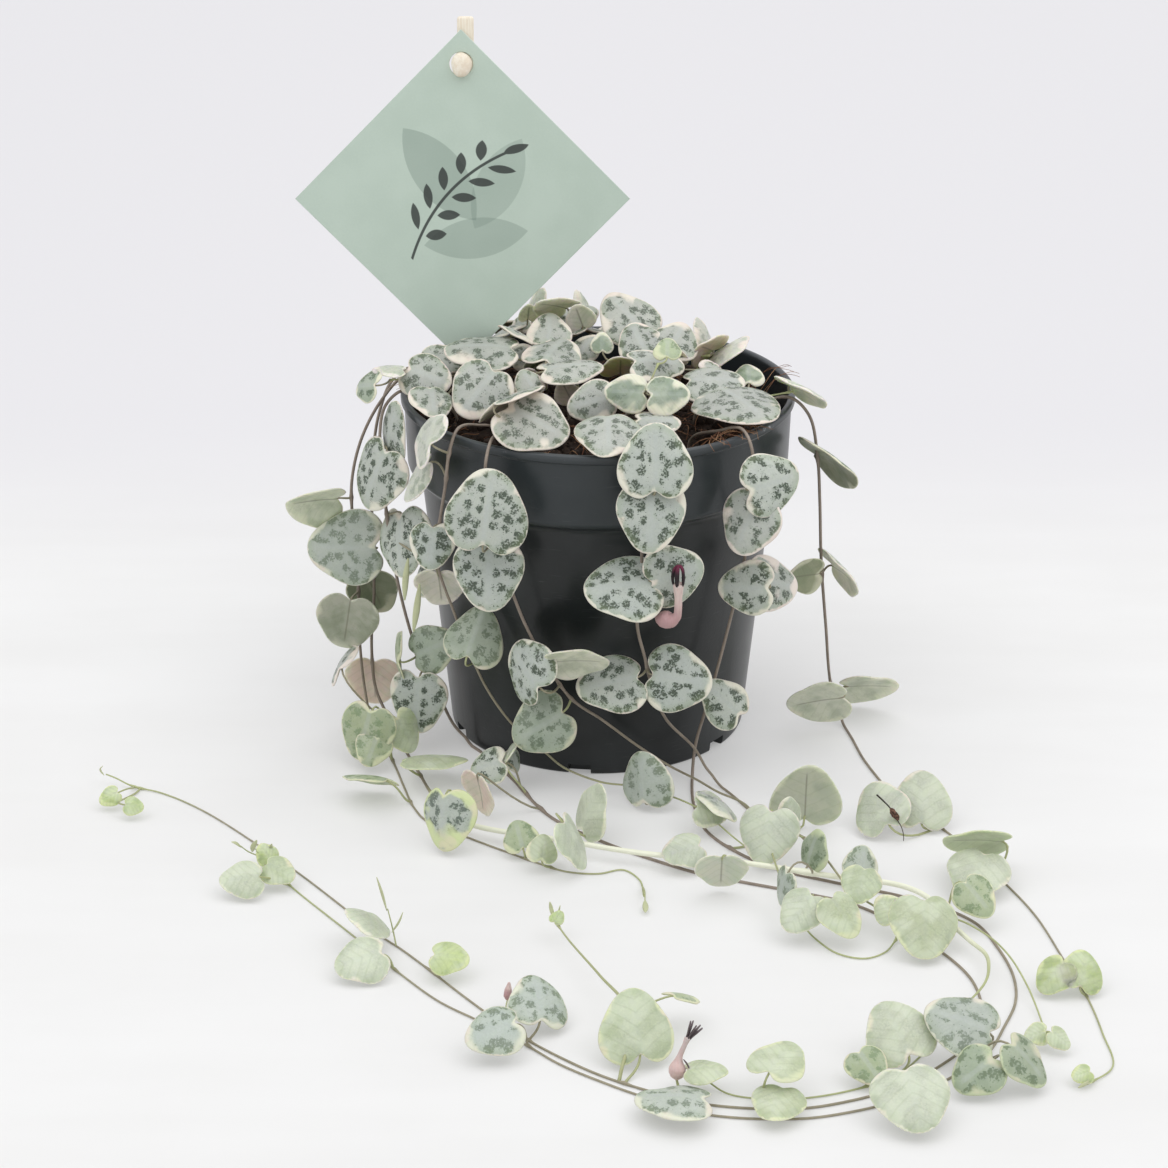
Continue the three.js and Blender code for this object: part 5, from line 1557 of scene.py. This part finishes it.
# %% Print on the card
PRINT_EDGE = 0.12
PATCHES = (((-6.0, 6.5), 128.0, 15.5, 6.6, 0.40), ((9.5, 4.0), 62.0, 13.5, 5.8, 0.30),
           ((3.5, -10.5), 8.0, 14.0, 5.4, 0.36))
TWIG_FOOT, TWIG_ANGLE, TWIG_LENGTH = (-15.0, -15.0), 47.0, 38.0
LEAF_STEP, LEAF_AWAY, LEAF_TURN = 6.2, 3.7, math.radians(48)
LEAF_LENGTH, LEAF_WIDTH = 3.2, 1.25


def lens(f, along, across, length, width):
    """One inside a lens of the given half length and half width, and zero outside."""
    radius = (length**2 + width**2) / (2 * width)
    offset = f.plus(f.math("ABSOLUTE", across), radius - width)
    spot = f.node("CombineXYZ", inputs={0: along, 1: offset})
    distance = f.node("VectorMath", 1, {0: spot}, operation="LENGTH")
    return f.fall(distance, radius - PRINT_EDGE, radius + PRINT_EDGE)


def turned_place(f, place, middle, degrees):
    """Coordinates along and across a direction, measured from a middle."""
    spot = f.node("Mapping", vector_type="TEXTURE", inputs={
        "Vector": place, "Location": (*middle, 0.0),
        "Rotation": (0.0, 0.0, math.radians(degrees))})
    return f.parts(spot)[:2]


def card_finish():
    """Smooth sage paper with a faint fibre, its printed design, and a paler cut edge."""
    f = Finish("card_paper")
    place = f.attribute("print", "Vector")
    fibre = f.noise(place, 0.6, 3.0, 0.6)
    tone = f.noise(place, 14.0, 2.0)
    paper = f.mix(f.step(f.plus(f.times(fibre, 0.3), f.times(tone, 0.7)), 0.35, 0.65),
                  (0.485, 0.585, 0.505), (0.52, 0.62, 0.54))
    front = f.attribute("front")
    ink = paper
    for middle, degrees, length, width, strength in PATCHES:
        shape = lens(f, *turned_place(f, place, middle, degrees), length, width)
        ink = f.mix(f.times(shape, strength), ink, (0.16, 0.23, 0.19))
    along, across = turned_place(f, place, TWIG_FOOT, TWIG_ANGLE)
    middle_run = f.plus(along, -20.0)
    across = f.plus(across, f.times(middle_run, middle_run, 0.012), -3.0)
    cell = f.plus(f.math("MODULO", along, LEAF_STEP), -LEAF_STEP / 2)
    on_twig = f.times(f.step(along, LEAF_STEP, 6.3), f.fall(along, 37.1, 37.2))
    beside = f.plus(f.math("ABSOLUTE", across), -LEAF_AWAY)
    c, s = math.cos(LEAF_TURN), math.sin(LEAF_TURN)
    leaf_along = f.plus(f.times(cell, c), f.times(beside, s))
    leaf_across = f.plus(f.times(cell, -s), f.times(beside, c))
    small_leaves = f.times(lens(f, leaf_along, leaf_across, LEAF_LENGTH, LEAF_WIDTH), on_twig)
    line = f.times(f.fall(f.math("ABSOLUTE", across), 0.28, 0.5),
                   f.step(along, 0.0, 0.2), f.fall(along, TWIG_LENGTH, 38.2))
    last_leaf = lens(f, f.plus(along, -40.6), across, LEAF_LENGTH, 1.3)
    twig = f.math("MAXIMUM", f.math("MAXIMUM", small_leaves, last_leaf), line)
    ink = f.mix(f.times(twig, 0.93), ink, (0.030, 0.037, 0.034))
    color = f.mix(front, paper, ink)
    color = f.mix(f.attribute("cut"), color, (0.70, 0.76, 0.70))
    f.set(Base_Color=color, Roughness=0.62, Normal=f.bump(fibre, 0.00003, 0.5))
    return f.material


card = make_mesh("label_card", [card_surface()], card_finish())
card.data.set_sharp_from_angle(angle=CARD_SHARP)
attach(card, "card", "card")
print("card faces:", len(card.data.polygons))

# %% [markdown]
# The stake is split wood: a flat bar whose section is a rounded rectangle, which a
# superellipse gives. Its grain runs along it. The peg is a short whittled knob that fills the
# hole and rounds over at its end.

# %% Stake and peg
STAKE_WIDTH, STAKE_DEPTH = 4.4, 2.2
STAKE_FOOT, STAKE_HEAD = 66.0 - CARD_MIDDLE[2], 189.2 - CARD_MIDDLE[2]
STAKE_LEAN = 1.1
STAKE_BACK = -1.4
PEG_MIDDLE = [0.1, HOLE_HEIGHT - 0.2]
PEG_HALF_WIDTH, PEG_HALF_HEIGHT = 2.75, 3.25


def stake_surface(sides=28):
    """Superellipse sections up the card's own Y axis: width and depth times the square root of
    the cosine and of the sine. The ends are drawn in, and the bar leans a little sideways."""
    ends = np.array([0.0, 0.12, 0.35, 0.8])
    level = np.concatenate([STAKE_FOOT + ends, np.linspace(STAKE_FOOT + 2, STAKE_HEAD - 2, 40),
                            STAKE_HEAD - ends[::-1]])
    inset = np.array([0.55, 0.3, 0.1, 0.0])
    inset = np.concatenate([inset, np.zeros(40), inset[::-1]])[:, None]
    angle = round_angles(sides)
    share = (level - STAKE_FOOT) / (STAKE_HEAD - STAKE_FOOT)
    wander = STAKE_LEAN * share + 0.10 * np.sin(9 * share)
    x = (STAKE_WIDTH / 2 - inset) * np.sign(np.cos(angle)) * np.sqrt(np.abs(np.cos(angle)))
    z = (STAKE_DEPTH / 2 - inset) * np.sign(np.sin(angle)) * np.sqrt(np.abs(np.sin(angle)))
    y = np.broadcast_to(level[:, None], x.shape)
    rows = np.stack([x + wander[:, None], y, z + STAKE_BACK], -1)
    start, end = [[wander[i], level[i], STAKE_BACK] for i in (0, -1)]
    points = with_poles(start, rows, end)
    faces = [f[:, ::-1] for f in capped_faces(len(level), sides)]
    return on_card(points), faces, {"grain": points}


def peg_surface(sides=28):
    """An oval knob: rings along the card's Z axis whose size falls off towards the front."""
    level = np.array([-0.3, -0.1, 0.6, 1.4, 2.0, 2.5, 2.85, 3.05])
    size = np.array([0.9, 1.0, 1.0, 0.99, 0.95, 0.85, 0.66, 0.35])[:, None]
    angle = round_angles(sides)
    dents = 1 + 0.025 * np.sin(3 * angle + 1.0) + 0.015 * np.sin(5 * angle)
    x = PEG_MIDDLE[0] + PEG_HALF_WIDTH * size * dents * np.cos(angle)
    y = PEG_MIDDLE[1] + PEG_HALF_HEIGHT * size * dents * np.sin(angle)
    rows = np.stack([x, y, np.broadcast_to(level[:, None], x.shape)], -1)
    points = with_poles([*PEG_MIDDLE, -0.3], rows, [*PEG_MIDDLE, 3.1])
    grain = 0.3 * points[:, [0, 2, 1]] + 40
    return on_card(points), capped_faces(len(level), sides), {"grain": grain}


def wood_finish():
    """Pale birch: fine lines along the grain, a few darker ones, and a warm tint in patches."""
    f = Finish("stake_wood")
    place = f.attribute("grain", "Vector")
    lines = f.noise(f.stretched(place, (0.35, 9.0, 0.5)), 1.0, 4.0, 0.6)
    patch = f.noise(f.stretched(place, (4.0, 14.0, 4.0)), 1.0, 2.0, 0.5)
    wood = f.mix(f.step(lines, 0.3, 0.7), (0.78, 0.68, 0.53), (0.90, 0.84, 0.72))
    wood = f.mix(f.step(patch, 0.5, 0.72, 0.0, 0.4), wood, (0.86, 0.71, 0.60))
    wood = f.mix(f.step(lines, 0.70, 0.78, 0.0, 0.4), wood, (0.56, 0.44, 0.31))
    f.set(Base_Color=wood, Roughness=0.6, Normal=f.bump(lines, 0.00012, 0.6))
    return f.material


stake = make_mesh("card_stake_wood", [stake_surface(), peg_surface()], wood_finish())
stake.data.set_sharp_from_angle(angle=STAKE_SHARP)
attach(stake, "stake", "card_stake")
print("stake:", round(STAKE_HEAD - STAKE_FOOT, 1), "mm long")

# %% [markdown]
# ## Flowers
# Each flower is a small lantern: a round bulb, a narrow tube that bends upwards and opens into
# a throat, and five dark petals joined at their tips like a cage, or spread on the flower that
# fades. Bulb and tube are one tube whose radius changes along it. A petal is a flattened tube
# that bows outwards.


# %% Bulb, tube and stalk
def flower_tube(places, shares, radii, sides=20):
    """A tube on a smooth curve whose radius goes through given values at given shares."""
    path = smooth_route(places, 8)
    share = along_share(path)
    points, faces = tube(path, np.interp(share, shares, radii), sides)
    return points * MM, faces, {"tone": spread(share, len(path), sides)}


FRONT_TUBE = [(14.5, -59.3, 54.5), (15.4, -59.6, 54.2), (17.0, -60.1, 53.9), (18.6, -60.8, 54.1),
              (19.8, -61.2, 55.3), (20.1, -61.5, 57.6), (20.1, -61.5, 61.0), (20.1, -61.5, 64.2)]
FRONT_SHARES = [0.0, 0.05, 0.12, 0.20, 0.28, 0.36, 0.46, 0.75, 0.92, 1.0]
FRONT_RADII = [0.55, 1.5, 2.15, 2.3, 2.0, 1.35, 1.0, 0.98, 1.3, 1.5]
GROUND_TUBE = [(16.6, -195.4, 3.2), (16.7, -195.2, 4.4), (16.8, -195.0, 6.0), (17.2, -194.6, 8.2),
               (18.2, -194.0, 10.6), (19.0, -193.5, 12.4)]
GROUND_SHARES = [0.0, 0.06, 0.15, 0.25, 0.34, 0.44, 0.56, 0.85, 1.0]
GROUND_RADII = [0.7, 1.45, 1.85, 1.9, 1.55, 0.95, 0.62, 0.56, 0.72]
STALKS = [
    ([(10.6, -52.7, 54.4), (11.4, -55.6, 53.8), (12.8, -58.2, 54.2), (14.6, -59.3, 54.5)],
     0.30, 0.35),
    ([(17.3, -197.4, 0.9), (17.0, -196.4, 1.8), (16.6, -195.5, 3.2)], 0.38, 0.55),
]


def petal_finish(name, start, end, tint):
    """Velvety flower skin that changes colour along the tube, with faint veins."""
    f = Finish(name)
    vein = f.noise(f.stretched(f.place(), (0.0005, 0.0005, 0.004)), 1.0, 2.0, 0.5)
    along = f.attribute("tone")
    color = f.mix(f.step(along, 0.35, 0.8), start, end)
    color = f.mix(f.step(vein, 0.45, 0.75, 0.0, 0.35), color, tint)
    f.set(Base_Color=color, Roughness=0.55, Normal=f.bump(vein, 0.0001, 0.4))
    f.set(Subsurface_Weight=0.12, Subsurface_Radius=(1.0, 0.5, 0.4), Subsurface_Scale=0.001)
    return f.material


BLOOM_SKIN = petal_finish("bloom_skin", (0.47, 0.29, 0.29), (0.66, 0.53, 0.49),
                          (0.38, 0.19, 0.22))
front_tube = flower_tube(FRONT_TUBE, FRONT_SHARES, FRONT_RADII)
front_bloom = make_mesh("bloom_front", [front_tube], BLOOM_SKIN)
attach(front_bloom, "bloom", "flower_front_tube")
PALE_SKIN = petal_finish("bloom_pale_skin", (0.68, 0.50, 0.47), (0.55, 0.46, 0.44),
                         (0.56, 0.36, 0.36))
ground_tube = flower_tube(GROUND_TUBE, GROUND_SHARES, GROUND_RADII)
attach(make_mesh("bloom_ground", [ground_tube], PALE_SKIN), "bloom", "flower_ground_tube")
attach(make_mesh("bloom_stalks", [shoot(*stalk) for stalk in STALKS], STEM_SKIN), "foliage")
print("front flower:", len(front_bloom.data.vertices), "points")


# %% Petal cages
def petals(foot, way, heights, bows, width, count=5, turn=0.3):
    """Flattened tubes set evenly round a direction. Each starts on the throat, bows out by the
    given distances at the given heights, and narrows at both ends."""
    foot, way = np.asarray(foot, float), unit(np.asarray(way, float))
    side = unit(np.cross(way, [0.3, 1.0, 0.1]))
    up = np.cross(way, side)
    surfaces = []
    for index in range(count):
        angle = turn + 2 * math.pi * index / count
        out = math.cos(angle) * side + math.sin(angle) * up
        places = foot + np.outer(heights, way) + np.outer(bows, out)
        path = smooth_route(places, 6)
        share = along_share(path)
        swell = width * (0.65 + 0.35 * np.sin(math.pi * share))
        points, faces = tube(path, swell, STALK_SIDES, flat=0.7)
        surfaces.append((points * MM, faces, {"tone": spread(share, len(path), STALK_SIDES)}))
    return surfaces


def cage_finish(name, low, high):
    """Dark downy petals that turn another colour at their tips."""
    f = Finish(name)
    down = f.noise(f.place(), 0.0004, 2.0, 0.6)
    color = f.mix(f.step(f.attribute("tone"), 0.55, 0.9), low, high)
    f.set(Base_Color=f.mix(f.step(down, 0.5, 0.8, 0.0, 0.3), color, (0.10, 0.05, 0.07)),
          Roughness=0.7, Normal=f.bump(down, 0.00008, 0.6))
    return f.material


front_cage = petals((20.1, -61.5, 64.0), (0, 0, 1), [0, 0.8, 2.4, 4.0, 4.9, 5.2],
                    [1.25, 1.42, 1.5, 1.25, 0.7, 0.15], width=0.60)
ground_cage = petals((19.0, -193.5, 12.2), (0.62, 0.3, 1.0), [0, 1.0, 2.4, 3.8],
                     [0.45, 0.6, 1.05, 1.55], width=0.38)
MAROON = cage_finish("petal_maroon", (0.012, 0.004, 0.007), (0.14, 0.012, 0.045))
attach(make_mesh("petals_front", front_cage, MAROON), "cage", "flower_front_cage")
calyx = [spindle([(18.0, -195.4, 8.2), (18.8, -195.6, 7.2), (19.5, -195.8, 5.8)], 0.42)]
FADED = cage_finish("petal_faded", (0.085, 0.065, 0.068), (0.15, 0.12, 0.125))
attach(make_mesh("petals_ground", ground_cage + calyx, FADED), "cage", "flower_ground_cage")
print("petals:", len(front_cage) + len(ground_cage))

# %% [markdown]
# A third flower has dried: a brown shrivelled lump on a dark stalk, with one hair hanging from
# it. The lump is a closed ball whose radius is pushed in and out by a few waves.


# %% Dried flower
def lump(middle, way, length, radius, rows=11, columns=16):
    """A ball stretched along a direction: its radius is waved along and round it."""
    middle, way = np.asarray(middle, float), unit(np.asarray(way, float))
    polar = np.linspace(0, math.pi, rows + 2)[1:-1, None]
    angle = round_angles(columns)
    waves = 1 + 0.22 * np.sin(3 * angle + 4 * polar) + 0.12 * np.sin(5 * angle - 7 * polar)
    side = unit(np.cross(way, [0.0, 1.0, 0.2]))
    up = np.cross(way, side)
    out = np.cos(angle)[..., None] * side + np.sin(angle)[..., None] * up
    rings = (middle - (length / 2 * np.cos(polar))[..., None] * way
             + (radius * np.sin(polar) * waves)[..., None] * out)
    points = with_poles(middle - length / 2 * way, rings, middle + length / 2 * way)
    return points * MM, capped_faces(rows, columns), {"tone": np.full(len(points), 1.0)}


def dried_finish():
    """Rust-brown and wrinkled, nearly black in the creases."""
    f = Finish("dried_petal")
    crease = f.noise(f.place(), 0.0006, 3.0, 0.6)
    brown = f.mix(f.step(crease, 0.35, 0.65), (0.035, 0.015, 0.010), (0.20, 0.10, 0.065))
    f.set(Base_Color=f.mix(f.attribute("tone"), (0.045, 0.035, 0.030), brown), Roughness=0.8,
          Normal=f.bump(crease, 0.0003, 0.8))
    return f.material


DRIED_STALK = [(70.6, -77.0, 12.7), (72.2, -77.2, 11.2), (73.8, -77.6, 9.6), (74.6, -77.9, 8.6)]
DRIED_HAIR = [(75.8, -78.2, 6.4), (77.0, -78.6, 4.4), (77.6, -78.9, 2.4), (77.7, -79.0, 0.6)]
dried = [lump((75.2, -78.0, 7.7), (0.55, -0.1, -0.8), length=4.0, radius=0.75),
         shoot(DRIED_STALK, radius=0.24, tone=0.0), shoot(DRIED_HAIR, radius=0.13, tone=0.1)]
attach(make_mesh("flower_shrivelled", dried, dried_finish()), "dried", "flower_dried")
BUD = [(-21.3, -161.8, 3.2), (-21.2, -161.0, 4.4), (-21.0, -160.4, 5.8), (-20.9, -160.2, 6.8)]
bud = flower_tube(BUD, [0, 0.2, 0.6, 1.0], [0.4, 0.95, 0.85, 0.3], 10)
attach(make_mesh("bloom_bud", [bud], BLOOM_SKIN), "bloom")
print("dried flower and bud:", len(dried) + 1, "surfaces")
